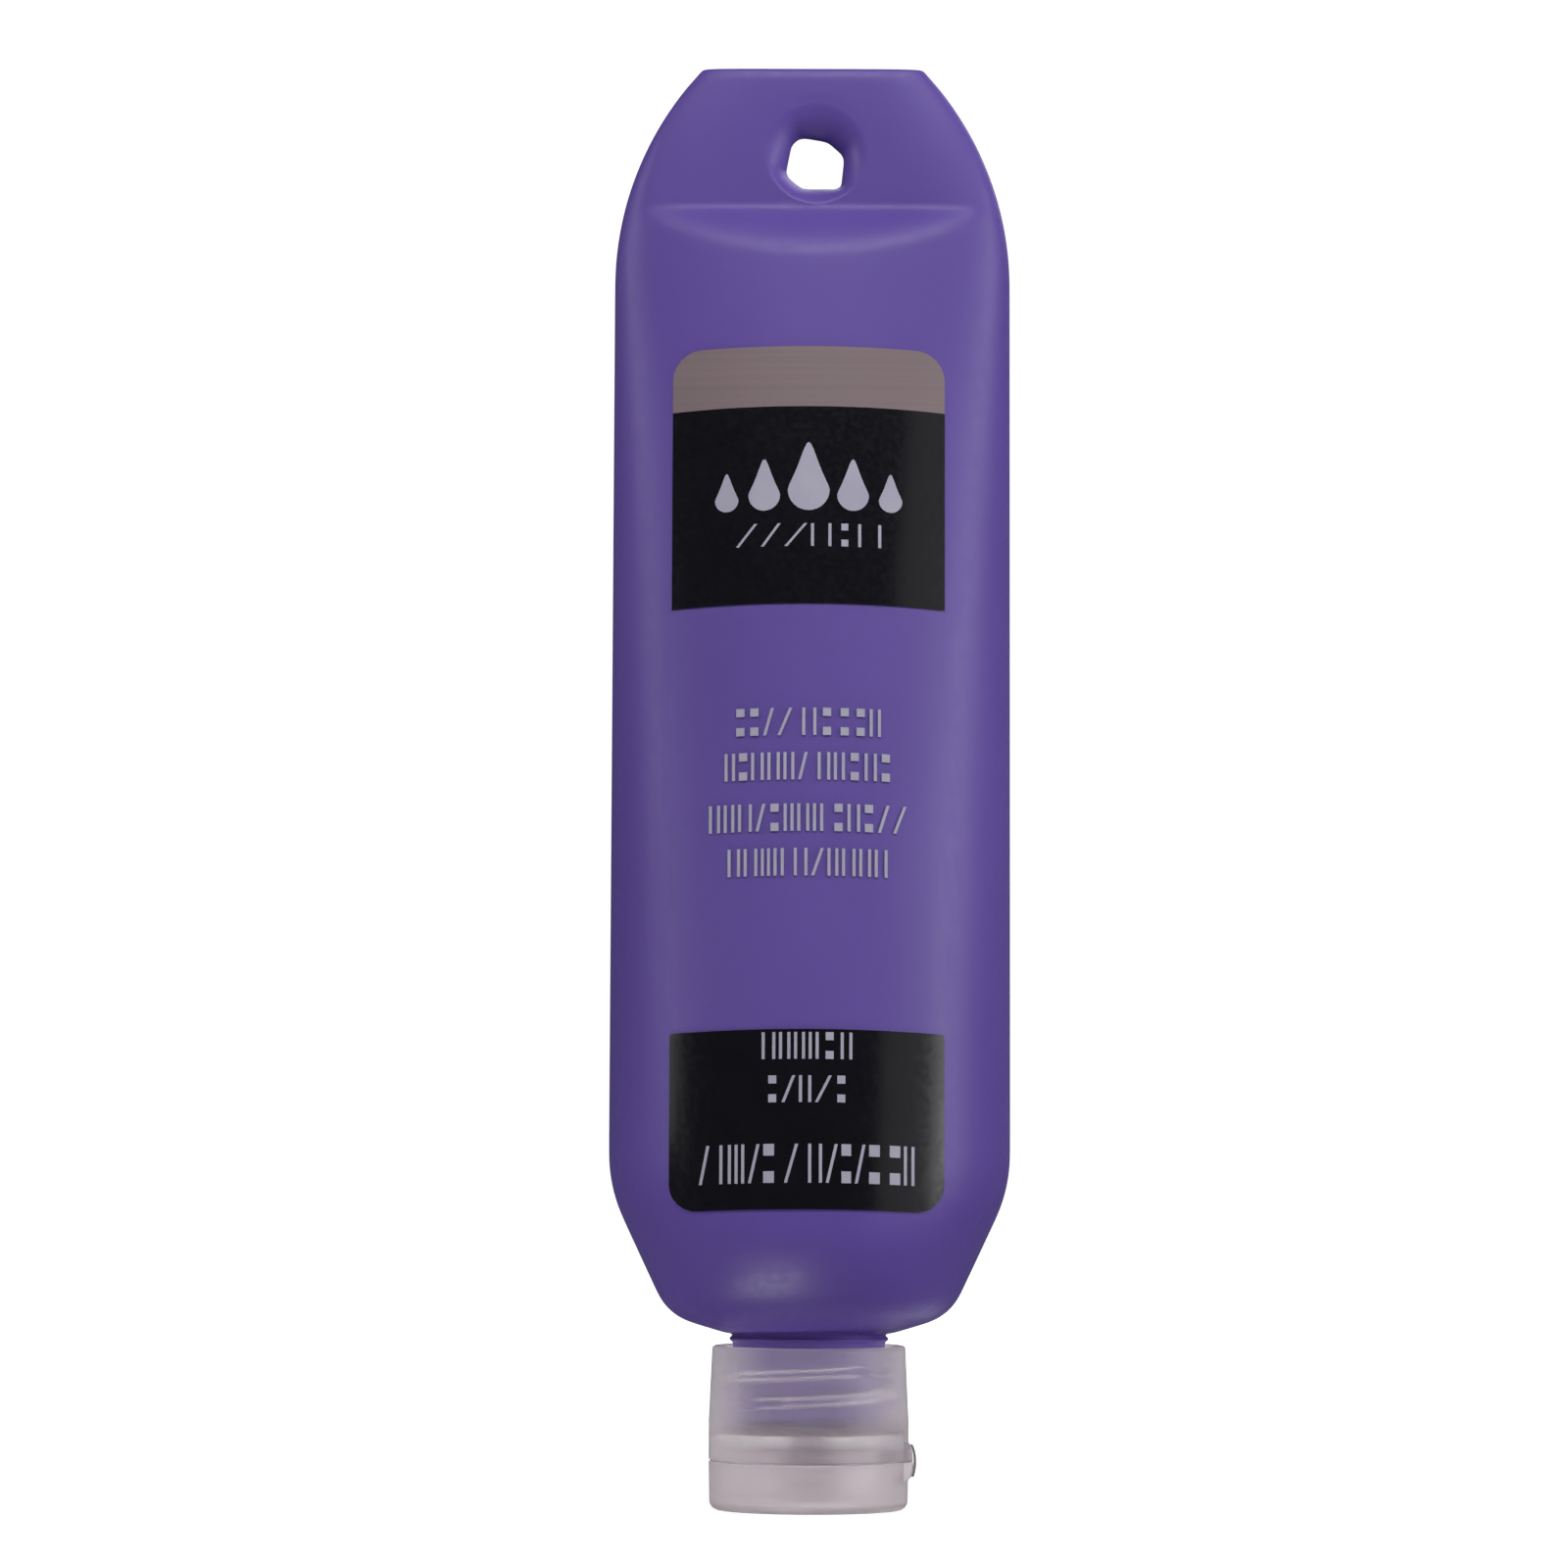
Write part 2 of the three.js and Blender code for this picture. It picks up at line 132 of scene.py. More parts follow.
def rounded(corners: Sequence[Corner], steps: int = 4) -> list[Point]:
    """A closed outline with each of its corners rounded.

    Args:
        corners: (first, second, radius) of each corner, in order.
        steps: How many pieces each round is cut into.

    Returns:
        The outline's points, without a repeat of the first one.
    """
    points: list[Point] = []
    for i, (x, z, radius) in enumerate(corners):
        here = Vector((x, z))
        before = (Vector(corners[i - 1][:2]) - here).normalized()
        after = (Vector(corners[(i + 1) % len(corners)][:2]) - here).normalized()
        half = before.angle(after) / 2
        if radius <= 0 or half > math.radians(89):
            points.append((x, z))
            continue
        reach = radius / math.tan(half)
        first, last = here + before * reach, here + after * reach
        centre = here + (before + after).normalized() * (radius / math.sin(half))
        for step in range(steps + 1):
            share = step / steps
            spoke = (first - centre).lerp(last - centre, share).normalized() * radius
            points.append(tuple(centre + spoke))
    return points


def held(value: float, low: float = 0, high: float = 1) -> float:
    """The value, kept between low and high."""
    return min(max(value, low), high)


def soft_min(a: float, b: float, blend: float) -> float:
    """The lesser of a and b, rounded off where they are within blend of each other.

    Args:
        a: One value.
        b: The other value.
        blend: How near they are where the rounding starts.

    Returns:
        The rounded lesser value.
    """
    near = max(blend - abs(a - b), 0) / blend
    return min(a, b) - near * near * blend / 4


def soft_max(a: float, b: float, blend: float) -> float:
    """The greater of a and b, rounded off where they are within blend of each other."""
    return -soft_min(-a, -b, blend)


def spun(points: Sequence[Point], segments: int, closed: bool = False) -> Mesh:
    """Turns an outline of (radius, height) points all the way round Z.

    Args:
        points: The outline, from end to end.
        segments: How many slices the turn is cut into.
        closed: Whether the outline's last point joins its first.

    Returns:
        The mesh, with poles and seam merged and its faces pointing out.
    """
    mesh = bmesh.new()
    verts = [mesh.verts.new((radius, 0, height)) for radius, height in points]
    pairs = list(zip(verts, verts[1:]))
    if closed:
        pairs.append((verts[-1], verts[0]))
    edges = [mesh.edges.new(pair) for pair in pairs]
    bmesh.ops.spin(
        mesh,
        geom=verts + edges,
        cent=(0, 0, 0),
        axis=(0, 0, 1),
        angle=FULL_TURN,
        steps=segments,
        use_merge=True,
    )
    bmesh.ops.remove_doubles(mesh, verts=mesh.verts, dist=WELD)
    bmesh.ops.recalc_face_normals(mesh, faces=mesh.faces)
    return mesh


def absorb(target: Mesh, other: Mesh) -> None:
    """Adds another mesh's faces to the target, and frees the other.

    Args:
        target: The mesh that grows.
        other: The mesh that is added and freed.
    """
    carrier = bpy.data.meshes.new("carrier")
    other.to_mesh(carrier)
    other.free()
    target.from_mesh(carrier)
    bpy.data.meshes.remove(carrier)


def verts_in(geometry: Iterable[bmesh.types.BMElem]) -> list[bmesh.types.BMVert]:
    """The vertices among what an operator gives back."""
    return [element for element in geometry if isinstance(element, bmesh.types.BMVert)]


def ring_edges(mesh: Mesh, near: Callable[[Vector], bool]) -> list[bmesh.types.BMEdge]:
    """The open edges whose two ends both pass a test of their place."""
    return [e for e in mesh.edges if e.is_boundary and all(near(v.co) for v in e.verts)]


def finish_object(name: str, mesh: Mesh, material: Material) -> Item:
    """Makes a smooth-shaded object at the origin from a mesh.

    Args:
        name: The object's name, and its mesh's.
        mesh: The mesh, which is freed.
        material: Its material.

    Returns:
        The new object, linked to the scene.
    """
    data = bpy.data.meshes.new(name)
    mesh.to_mesh(data)
    mesh.free()
    data.polygons.foreach_set("use_smooth", [True] * len(data.polygons))
    data.materials.append(material)
    item = bpy.data.objects.new(name, data)
    bpy.context.scene.collection.objects.link(item)
    return item


def united(body: Mesh, additions: Iterable[Mesh]) -> Mesh:
    """Joins closed meshes to a body as one solid, with nothing left inside it.

    Args:
        body: The main mesh, which is freed.
        additions: The closed meshes, which are freed too.

    Returns:
        The solid.
    """
    working = finish_object("working_body", body, bpy.data.materials.new("working"))
    helpers = []
    for addition in additions:
        helper = finish_object("working_addition", addition, working.data.materials[0])
        union = working.modifiers.new("union", "BOOLEAN")
        union.operation = "UNION"
        union.solver = "EXACT"
        union.object = helper
        helpers.append(helper)
    depsgraph = bpy.context.evaluated_depsgraph_get()
    result = bmesh.new()
    result.from_object(working, depsgraph)
    bmesh.ops.remove_doubles(result, verts=result.verts, dist=WELD)
    material = working.data.materials[0]
    for item in [working, *helpers]:
        data = item.data
        bpy.data.objects.remove(item)
        bpy.data.meshes.remove(data)
    bpy.data.materials.remove(material)
    return result


def crease_sharp_edges(item: Item, degrees: float) -> None:
    """Marks the edges that turn by more than an angle as sharp, so that they shade crisply.

    Args:
        item: The object.
        degrees: The angle.
    """
    mesh = bmesh.new()
    mesh.from_mesh(item.data)
    limit = math.radians(degrees)
    for edge in mesh.edges:
        if edge.is_manifold:
            edge.smooth = edge.calc_face_angle(0) < limit
    mesh.to_mesh(item.data)
    mesh.free()


# ---- Finishes ----


@dataclass
class ShaderSheet:
    """A material's node tree, with one Principled shader, and the few moves that fill it."""

    name: str
    material: Material = field(init=False)
    shader: bpy.types.ShaderNode = field(init=False)

    def __post_init__(self) -> None:
        """Makes the material with its shader and the object's own coordinates."""
        self.material = bpy.data.materials.new(self.name)
        self.material.use_nodes = True
        nodes = self.material.node_tree.nodes
        nodes.clear()
        self.shader = nodes.new("ShaderNodeBsdfPrincipled")
        output = nodes.new("ShaderNodeOutputMaterial")
        self.join(self.shader.outputs["BSDF"], output.inputs["Surface"])
        self.place = nodes.new("ShaderNodeTexCoord").outputs["Object"]

    def join(self, source: Socket, target: Socket) -> None:
        """Links two sockets."""
        self.material.node_tree.links.new(source, target)

    def add(self, kind: str, **values: float | Sequence[float]) -> bpy.types.ShaderNode:
        """Adds a node and sets constants on its sockets. An underscore stands for a space.

        Args:
            kind: The node's type.
            values: A value for each named socket.

        Returns:
            The new node.
        """
        node = self.material.node_tree.nodes.new(kind)
        for socket, value in values.items():
            node.inputs[socket.replace("_", " ")].default_value = value
        return node

    def fix(self, **values: float | Sequence[float]) -> None:
        """Sets constants on the shader's own sockets. An underscore stands for a space."""
        for socket, value in values.items():
            self.shader.inputs[socket.replace("_", " ")].default_value = value

    def noise(self, scale: float, detail: float, stretch: Corner = (1, 1, 1)) -> Socket:
        """Smooth noise over the object.

        Args:
            scale: Cells in a metre.
            detail: How many finer layers it has.
            stretch: Scale along each axis.

        Returns:
            Its value, 0 to 1.
        """
        mapping = self.add("ShaderNodeMapping", Scale=stretch)
        self.join(self.place, mapping.inputs["Vector"])
        texture = self.add("ShaderNodeTexNoise", Scale=scale, Detail=detail)
        self.join(mapping.outputs["Vector"], texture.inputs["Vector"])
        return texture.outputs["Fac"]

    def ranged(
        self, source: Socket, low: float, high: float, start: float = 0.3, end: float = 0.7
    ) -> Socket:
        """Maps a value from start..end onto low..high, and holds it there.

        Args:
            source: The value.
            low: What start becomes.
            high: What end becomes.
            start: Where the change starts.
            end: Where it ends.

        Returns:
            The mapped value.
        """
        node = self.add("ShaderNodeMapRange", From_Min=start, From_Max=end, To_Min=low, To_Max=high)
        node.interpolation_type = "SMOOTHSTEP"
        self.join(source, node.inputs["Value"])
        return node.outputs["Result"]

    def off_middle(self) -> Socket:
        """Finds how far a place lies from the middle plane, front to back.

        Returns:
            The distance, in metres.
        """
        split = self.add("ShaderNodeSeparateXYZ")
        self.join(self.place, split.inputs["Vector"])
        size = self.add("ShaderNodeMath")
        size.operation = "ABSOLUTE"
        self.join(split.outputs["Y"], size.inputs[0])
        return size.outputs["Value"]

    def tint(self, texture: Socket, first: Colour, second: Colour) -> None:
        """Colours the surface between two colours, by a texture.

        Args:
            texture: The texture, 0 to 1.
            first: The colour at its low places.
            second: The colour at its high places.
        """
        node = self.add("ShaderNodeMix")
        node.data_type = "RGBA"
        node.inputs["A"].default_value = (*first, 1)
        node.inputs["B"].default_value = (*second, 1)
        self.join(self.ranged(texture, 0, 1), node.inputs["Factor"])
        self.join(node.outputs["Result"], self.shader.inputs["Base Color"])

    def grain(self, scale: float, low: float, high: float) -> None:
        """Varies the roughness finely between two values."""
        self.join(self.ranged(self.noise(scale, 2), low, high), self.shader.inputs["Roughness"])

    def bump(self, height: Socket, distance: float) -> None:
        """Raises the surface by a height map. Each call adds to the last.

        Args:
            height: The height map, 0 to 1.
            distance: How high 1 stands.
        """
        node = self.add("ShaderNodeBump", Distance=distance, Strength=1)
        self.join(height, node.inputs["Height"])
        normal = self.shader.inputs["Normal"]
        if normal.is_linked:
            self.join(normal.links[0].from_socket, node.inputs["Normal"])
        self.join(node.outputs["Normal"], normal)


@dataclass(frozen=True)
class SatinPolyethylene:
    """The bottle's blow-moulded wall: dyed through, satin, and faintly wavy."""

    colour: Colour = (0.150, 0.092, 0.420)
    deep_colour: Colour = (0.134, 0.081, 0.392)
    roughness: float = 0.40
    seam_half: float = 0.12 * MM

    def build(self) -> Material:
        """Returns the material, with its flow marks and the mould's parting seam."""
        sheet = ShaderSheet("satin_polyethylene")
        sheet.tint(sheet.noise(42, 3, (1, 1, 0.45)), self.colour, self.deep_colour)
        sheet.grain(900, self.roughness - 0.03, self.roughness + 0.04)
        sheet.fix(IOR=1.5, Specular_IOR_Level=0.36)
        sheet.fix(Subsurface_Weight=0.12, Subsurface_Radius=(1.0, 0.6, 1.4), Subsurface_Scale=1.2 * MM)
        sheet.bump(sheet.noise(70, 2, (1, 1, 0.5)), 0.12 * MM)
        sheet.bump(sheet.noise(2600, 2), 0.004 * MM)
        sheet.bump(sheet.ranged(sheet.off_middle(), 1, 0, 0, self.seam_half), 0.05 * MM)
        return sheet.material


@dataclass(frozen=True)
class FrostedPolypropylene:
    """The cap's natural polypropylene: see-through, milky, with a fine frosted grain."""

    colour: Colour = (0.79, 0.73, 0.765)
    cloudy_colour: Colour = (0.75, 0.695, 0.73)
    roughness: float = 0.46
    clarity: float = 0.92
    name: str = "frosted_polypropylene"

    def build(self) -> Material:
        """Returns the material, slightly wavy and clouded."""
        sheet = ShaderSheet(self.name)
        sheet.tint(sheet.noise(160, 3, (1, 1, 0.4)), self.colour, self.cloudy_colour)
        sheet.grain(1500, self.roughness - 0.05, self.roughness + 0.05)
        sheet.fix(IOR=1.49, Transmission_Weight=self.clarity, Specular_IOR_Level=0.5)
        sheet.bump(sheet.noise(140, 1, (1, 1, 0.4)), 0.03 * MM)
        return sheet.material


@dataclass(frozen=True)
class PrintedInk:
    """A flat printed colour under a thin satin lacquer."""

    name: str
    colour: Colour
    worn_colour: Colour
    roughness: float = 0.38
    coat: float = 0.25
    streaks: Corner = (1, 1, 1)

    def build(self) -> Material:
        """Returns the material, with the faint unevenness of a printed film."""
        sheet = ShaderSheet(self.name)
        sheet.tint(sheet.noise(220, 4, self.streaks), self.colour, self.worn_colour)
        sheet.grain(1400, self.roughness - 0.04, self.roughness + 0.05)
        sheet.fix(IOR=1.48, Specular_IOR_Level=0.4, Coat_Weight=self.coat, Coat_Roughness=0.3)
        sheet.bump(sheet.noise(60, 1), 0.01 * MM)
        return sheet.material


@dataclass(frozen=True)
class ClearFilm:
    """The label's clear carrier film, which shows as a faint sheen."""

    colour: Colour = (0.55, 0.5, 0.72)
    alpha: float = 0.015

    def build(self) -> Material:
        """Returns the material, which is almost clear."""
        sheet = ShaderSheet("clear_label_film")
        sheet.grain(90, 0.2, 0.3)
        sheet.fix(Base_Color=(*self.colour, 1), IOR=1.48, Alpha=self.alpha)
        sheet.bump(sheet.noise(60, 2), 0.03 * MM)
        return sheet.material


@dataclass(frozen=True)
class LinerFoamAndShade:
    """Closed-cell foam of the seal liner. Its dark grey is partly painted shade, for the shade in the
    gap between the neck's end and the deck.
    """

    # Dark grey: the liner's own colour, and partly painted shade for the gap under the neck's end.
    colour: Colour = (0.20, 0.17, 0.21)
    cell_colour: Colour = (0.14, 0.12, 0.15)

    def build(self) -> Material:
        """Returns the material, pitted with fine cells."""
        sheet = ShaderSheet("liner_foam")
        cells = sheet.noise(4200, 3)
        sheet.tint(cells, self.colour, self.cell_colour)
        sheet.fix(Roughness=0.85)
        sheet.bump(cells, 0.05 * MM)
        return sheet.material


@dataclass(frozen=True)
class WetPaint:
    """The fabric paint inside the bottle: thick, glossy and evenly coloured."""

    colour: Colour = (0.085, 0.035, 0.270)
    swirl_colour: Colour = (0.105, 0.050, 0.300)

    def build(self) -> Material:
        """Returns the material, with a faint swirl."""
        sheet = ShaderSheet("wet_paint")
        sheet.tint(sheet.noise(60, 4), self.colour, self.swirl_colour)
        sheet.fix(Roughness=0.18, IOR=1.45, Coat_Weight=0.3, Coat_Roughness=0.1)
        sheet.bump(sheet.noise(180, 2), 0.06 * MM)
        return sheet.material


@dataclass(frozen=True)
class StudioPaper:
    """The pale sweep that the bottle stands on."""

    colour: Colour = (0.90, 0.90, 0.90)
    glow: float = 0.62
    far_glow: float = 0.98
    near: float = 0.1
    far: float = 1.2

    def build(self) -> Material:
        """Returns the material, which glows more away from the lamps so that it stays pale."""
        sheet = ShaderSheet("studio_paper")
        sheet.fix(Base_Color=(*self.colour, 1), Roughness=0.9, Specular_IOR_Level=0.1)
        sheet.fix(Emission_Color=(1, 1, 1, 1))
        length = sheet.add("ShaderNodeVectorMath")
        length.operation = "LENGTH"
        sheet.join(sheet.place, length.inputs[0])
        glow = sheet.ranged(length.outputs["Value"], self.glow, self.far_glow, self.near, self.far)
        sheet.join(glow, sheet.shader.inputs["Emission Strength"])
        return sheet.material


# ---- Bottle ----


@dataclass(frozen=True)
class BottleForm:
    """The bottle's outer shape, as a turned outline pressed flat from front to back."""

    top: float
    land: float
    side_top: float = 144.8 * MM
    side_top_half: float = 23.5 * MM
    crown_radius: float = 38 * MM
    shoulder: float = 41.9 * MM
    shoulder_half: float = 23.75 * MM
    shoulder_radius: float = 18 * MM
    shoulder_angle: float = math.radians(25)
    foot_angle: float = math.radians(16.6)
    foot_round: float = 3.0 * MM
    foot_lift: float = 2.6 * MM
    foot_top: float = 24.5 * MM
    neck_top: float = 20.5 * MM
    neck_radius: float = 9 * MM
    bead: float = 0.42 * MM
    depth_half: float = 19.3 * MM
    face_radius: float = 670 * MM
    face_upright: float = 22.6 * MM
    face_shoulder: float = 35.5 * MM
    face_drop_height: float = 13 * MM
    face_drop: float = 5.5 * MM
    face_turn_limit: float = 0.9
    ledge: float = 153.9 * MM
    ledge_slope: float = 1.15
    ledge_round: float = 0.35 * MM
    ridge_round: float = 1.5 * MM
    tab_half: float = 3.5 * MM
    tab_top_half: float = 1.9 * MM
    edge_round: float = 0.9 * MM

    def half_width(self, height: float) -> float:
        """Half the body's width at a height between the foot and the crown.

        Args:
            height: The height.

        Returns:
            Half the width.
        """
        if height < self.shoulder:
            fall = self.shoulder - height
            reach = math.sqrt(self.shoulder_radius**2 - fall**2)
            return self.shoulder_half - self.shoulder_radius + reach
        share = (height - self.shoulder) / (self.side_top - self.shoulder)
        return self.shoulder_half + share * (self.side_top_half - self.shoulder_half)

    def face_reach(self, height: float) -> float:
        """How far the middle of a face stands from the middle plane at a height.

        Args:
            height: The height.

        Returns:
            The distance.
        """
        bow = self.face_radius - math.sqrt(self.face_radius**2 - (height - self.face_upright) ** 2)
        turned = held((self.face_shoulder - height) / self.face_drop_height, high=self.face_turn_limit)
        return self.depth_half - bow - self.face_drop * (1 - math.sqrt(1 - turned**2))

    def face_at(self, x: float, height: float) -> float:
        """How far a face stands from the middle plane at a place on it."""
        return self.face_reach(height) * math.sqrt(1 - (x / self.half_width(height)) ** 2)

    def tab_limit(self, height: float, inset: float) -> float:
        """The most that the ledge and the hang tab leave of the depth at a height.

        Args:
            height: The height.
            inset: How far inside the outer surface it counts.

        Returns:
            Half the depth that is left.
        """
        share = (height - self.ledge) / (self.top - self.ledge)
        tab = self.tab_half + share * (self.tab_top_half - self.tab_half) - inset
        slant = math.hypot(1, 1 / self.ledge_slope)
        ledge = self.tab_half + (self.ledge - height) / self.ledge_slope - inset * slant
        limit = soft_max(tab, ledge, self.ledge_round)
        over = height - (self.top - self.edge_round)
        if over > 0:
            limit -= self.edge_round - math.sqrt(max(self.edge_round**2 - over**2, 0))
        return limit

    def foot_height(self, x: float, inset: float) -> float:
        """Height of the foot's slope at a distance from the axis."""
        rise = (x - self.neck_radius) * math.tan(self.foot_angle)
        return self.neck_top + rise + inset / math.cos(self.foot_angle)

    def shoulder_end(self, inset: float) -> Point:
        """Where the shoulder's arc runs out into its slope.

        Args:
            inset: How far inside the outer surface the outline is drawn.

        Returns:
            The point.
        """
        reach = self.shoulder_radius - inset
        x = self.shoulder_half - self.shoulder_radius + reach * math.cos(self.shoulder_angle)
        return x, self.shoulder - reach * math.sin(self.shoulder_angle)

    def foot_corner(self, inset: float) -> Point:
        """Where the shoulder's slope would meet the foot's slope.

        Args:
            inset: How far inside the outer surface the outline is drawn.

        Returns:
            The point.
        """
        sin, cos = math.sin(self.shoulder_angle), math.cos(self.shoulder_angle)
        x, height = self.shoulder_end(inset)
        run = (height - self.foot_height(x, inset)) / (cos - sin * math.tan(self.foot_angle))
        return x - run * sin, height - run * cos

    def body_outline(self, inset: float, neck_radius: float) -> list[Point]:
        """The outline from the foot's inner end, up to where the crown begins.

        Args:
            inset: How far inside the outer surface the outline is drawn.
            neck_radius: The neck's radius at that depth.

        Returns:
            Points of (radius, height), from the neck upwards.
        """
        sin, cos = math.sin(self.shoulder_angle), math.cos(self.shoulder_angle)
        corner_x, corner_z = self.foot_corner(inset)
        end = self.shoulder_end(inset)
        start = (corner_x - self.foot_round, self.foot_height(corner_x - self.foot_round, inset))
        after = (corner_x + self.foot_round * sin, corner_z + self.foot_round * cos)
        points = line((neck_radius, self.foot_height(neck_radius, inset)), start, 1.3 * MM)
        for step in range(1, 6):
            share = step / 6
            first = Vector(start).lerp(Vector((corner_x, corner_z)), share)
            second = Vector((corner_x, corner_z)).lerp(Vector(after), share)
            points.append(tuple(first.lerp(second, share)))
        points += line(after, end, 1.3 * MM)
        centre = (self.shoulder_half - self.shoulder_radius, self.shoulder)
        points += arc(centre, self.shoulder_radius - inset, -self.shoulder_angle, 0, 6)[1:]
        top = (self.side_top_half - inset, self.side_top)
        points += line(points[-1], top, 4.5 * MM)[1:]
        return points

    def crown_outline(self) -> list[Point]:
        """The outline over the crown and the tab, to the axis, with rows closer at the ledge.

        Returns:
            Points of (radius, height), from the body upwards.
        """
        centre = (self.side_top_half - self.crown_radius, self.side_top)
        spans = (
            (self.side_top + 1 * MM, self.ledge - 6.5 * MM, 1.2 * MM),
            (self.ledge - 6 * MM, self.ledge + 2.5 * MM, 0.5 * MM),
            (self.ledge + 3.3 * MM, self.top - 2.4 * MM, 1.15 * MM),
        )
        heights = [spot for low, high, pitch in spans for spot in line((0, low), (0, high), pitch)]
        points = []
        for _, height in heights:
            rise = height - self.side_top
            points.append((centre[0] + math.sqrt(self.crown_radius**2 - rise**2), height))
        corner = centre[0] + math.sqrt(self.crown_radius**2 - (self.top - self.side_top) ** 2)
        below = points[-1]
        edge = rounded([(*below, 0), (corner, self.top, self.edge_round), (0, self.top, 0)], 5)
        points += line(below, edge[1], 0.8 * MM)[1:-1] + edge[1:-1]
        inner = points[-1][0]
        points += [(inner * share, self.top) for share in (0.93, 0.75, 0.5, 0.25)] + [(0, self.top)]
        return points

    def press(self, point: Vector, inset: float) -> None:
        """Moves a point of the turned form to where it lies on the pressed one.

        Above the foot the faces are pressed in to their reach. The foot rises towards the
        faces, so that a crisp edge runs round under each of them.

        Args:
            point: The point, which is moved.
            inset: How far inside the outer surface it lies.
        """
        radius = math.hypot(point.x, point.y)
        if radius < 1e-9:
            return
        facing = (point.y / radius) ** 2
        if point.z > self.foot_top:
            deep = (self.face_reach(point.z) - inset) * abs(point.y) / radius
            if point.z > self.side_top:
                deep = soft_min(deep, self.tab_limit(point.z, inset), self.ridge_round)
            point.y = math.copysign(max(deep, 0), point.y)
            share = held((self.face_shoulder - point.z) / (self.face_shoulder - self.foot_top))
            point.z += self.foot_lift * facing * share * share * (3 - 2 * share)
            return
        drop = self.shoulder_end(inset)[1] - self.foot_top
        foot_half = self.shoulder_end(inset)[0] - drop * math.tan(self.shoulder_angle)
        share = (self.face_reach(self.foot_top) - inset) / foot_half
        pressed = held((radius - self.neck_radius) / (foot_half - self.neck_radius))
        point.y *= 1 + pressed * (share - 1)
        point.z += self.foot_lift * facing * pressed


@dataclass(frozen=True)
class Thread:
    """A right-hand thread ridge of rounded trapezoid section."""

    root: float
    crest: float
    root_width: float
    crest_width: float
    start_height: float
    start_angle: float
    turns: float
    pitch: float = 3.175 * MM
    run_out: float = 0.35
    end_height: float = 0.1
    steps_per_turn: int = 48

    def build(self) -> Mesh:
        """Returns the ridge as a closed mesh, which fades into its wall at both ends."""
        mesh = bmesh.new()
        wide, narrow = self.root_width / 2, self.crest_width / 2
        near = self.root + 0.85 * (self.crest - self.root)
        section = [
            (self.root, -wide),
            (near, -narrow * 1.15),
            (self.crest, -narrow * 0.6),
            (self.crest, narrow * 0.6),
            (near, narrow * 1.15),
            (self.root, wide),
        ]
        verts = []
        for radius, height in section:
            x, y = radius * math.cos(self.start_angle), radius * math.sin(self.start_angle)
            verts.append(mesh.verts.new((x, y, self.start_height + height)))
        edges = [mesh.edges.new((v, verts[(i + 1) % len(verts)])) for i, v in enumerate(verts)]
        steps = round(self.turns * self.steps_per_turn)
        bmesh.ops.spin(
            mesh,
            geom=verts + edges,
            cent=(0, 0, 0),
            axis=(0, 0, 1),
            dvec=(0, 0, self.pitch * self.turns / steps),
            angle=self.turns * FULL_TURN,
            steps=steps,
            use_merge=False,
        )
        mesh.verts.ensure_lookup_table()
        sweep = self.turns * FULL_TURN
        for index, vert in enumerate(mesh.verts):
            along = (index // len(section)) / steps * sweep
            fade = held(min(along, sweep - along) / self.run_out, self.end_height)
            radius = math.hypot(vert.co.x, vert.co.y)
            scale = (self.root + (radius - self.root) * fade) / radius
            vert.co.x *= scale
            vert.co.y *= scale
        bmesh.ops.holes_fill(mesh, edges=mesh.edges, sides=len(section))
        bmesh.ops.recalc_face_normals(mesh, faces=mesh.faces)
        return mesh


def ray_hit(outline: Sequence[Point], centre: Point, angle: float) -> Point:
    """Where a ray from inside a closed outline leaves it.

    Args:
        outline: The outline's points.
        centre: Where the ray starts.
        angle: The ray's angle, in radians.

    Returns:
        The point on the outline.
    """
    along = Vector((math.cos(angle), math.sin(angle)))
    for i, corner in enumerate(outline):
        first = Vector(corner) - Vector(centre)
        edge = Vector(outline[(i + 1) % len(outline)]) - Vector(corner)
        cross = along.cross(edge)
        if abs(cross) < 1e-15:
            continue
        reach, share = first.cross(edge) / cross, first.cross(along) / cross
        if reach > 0 and -1e-6 <= share <= 1 + 1e-6:
            return tuple(Vector(centre) + along * reach)
    raise ValueError("the ray starts outside the outline")


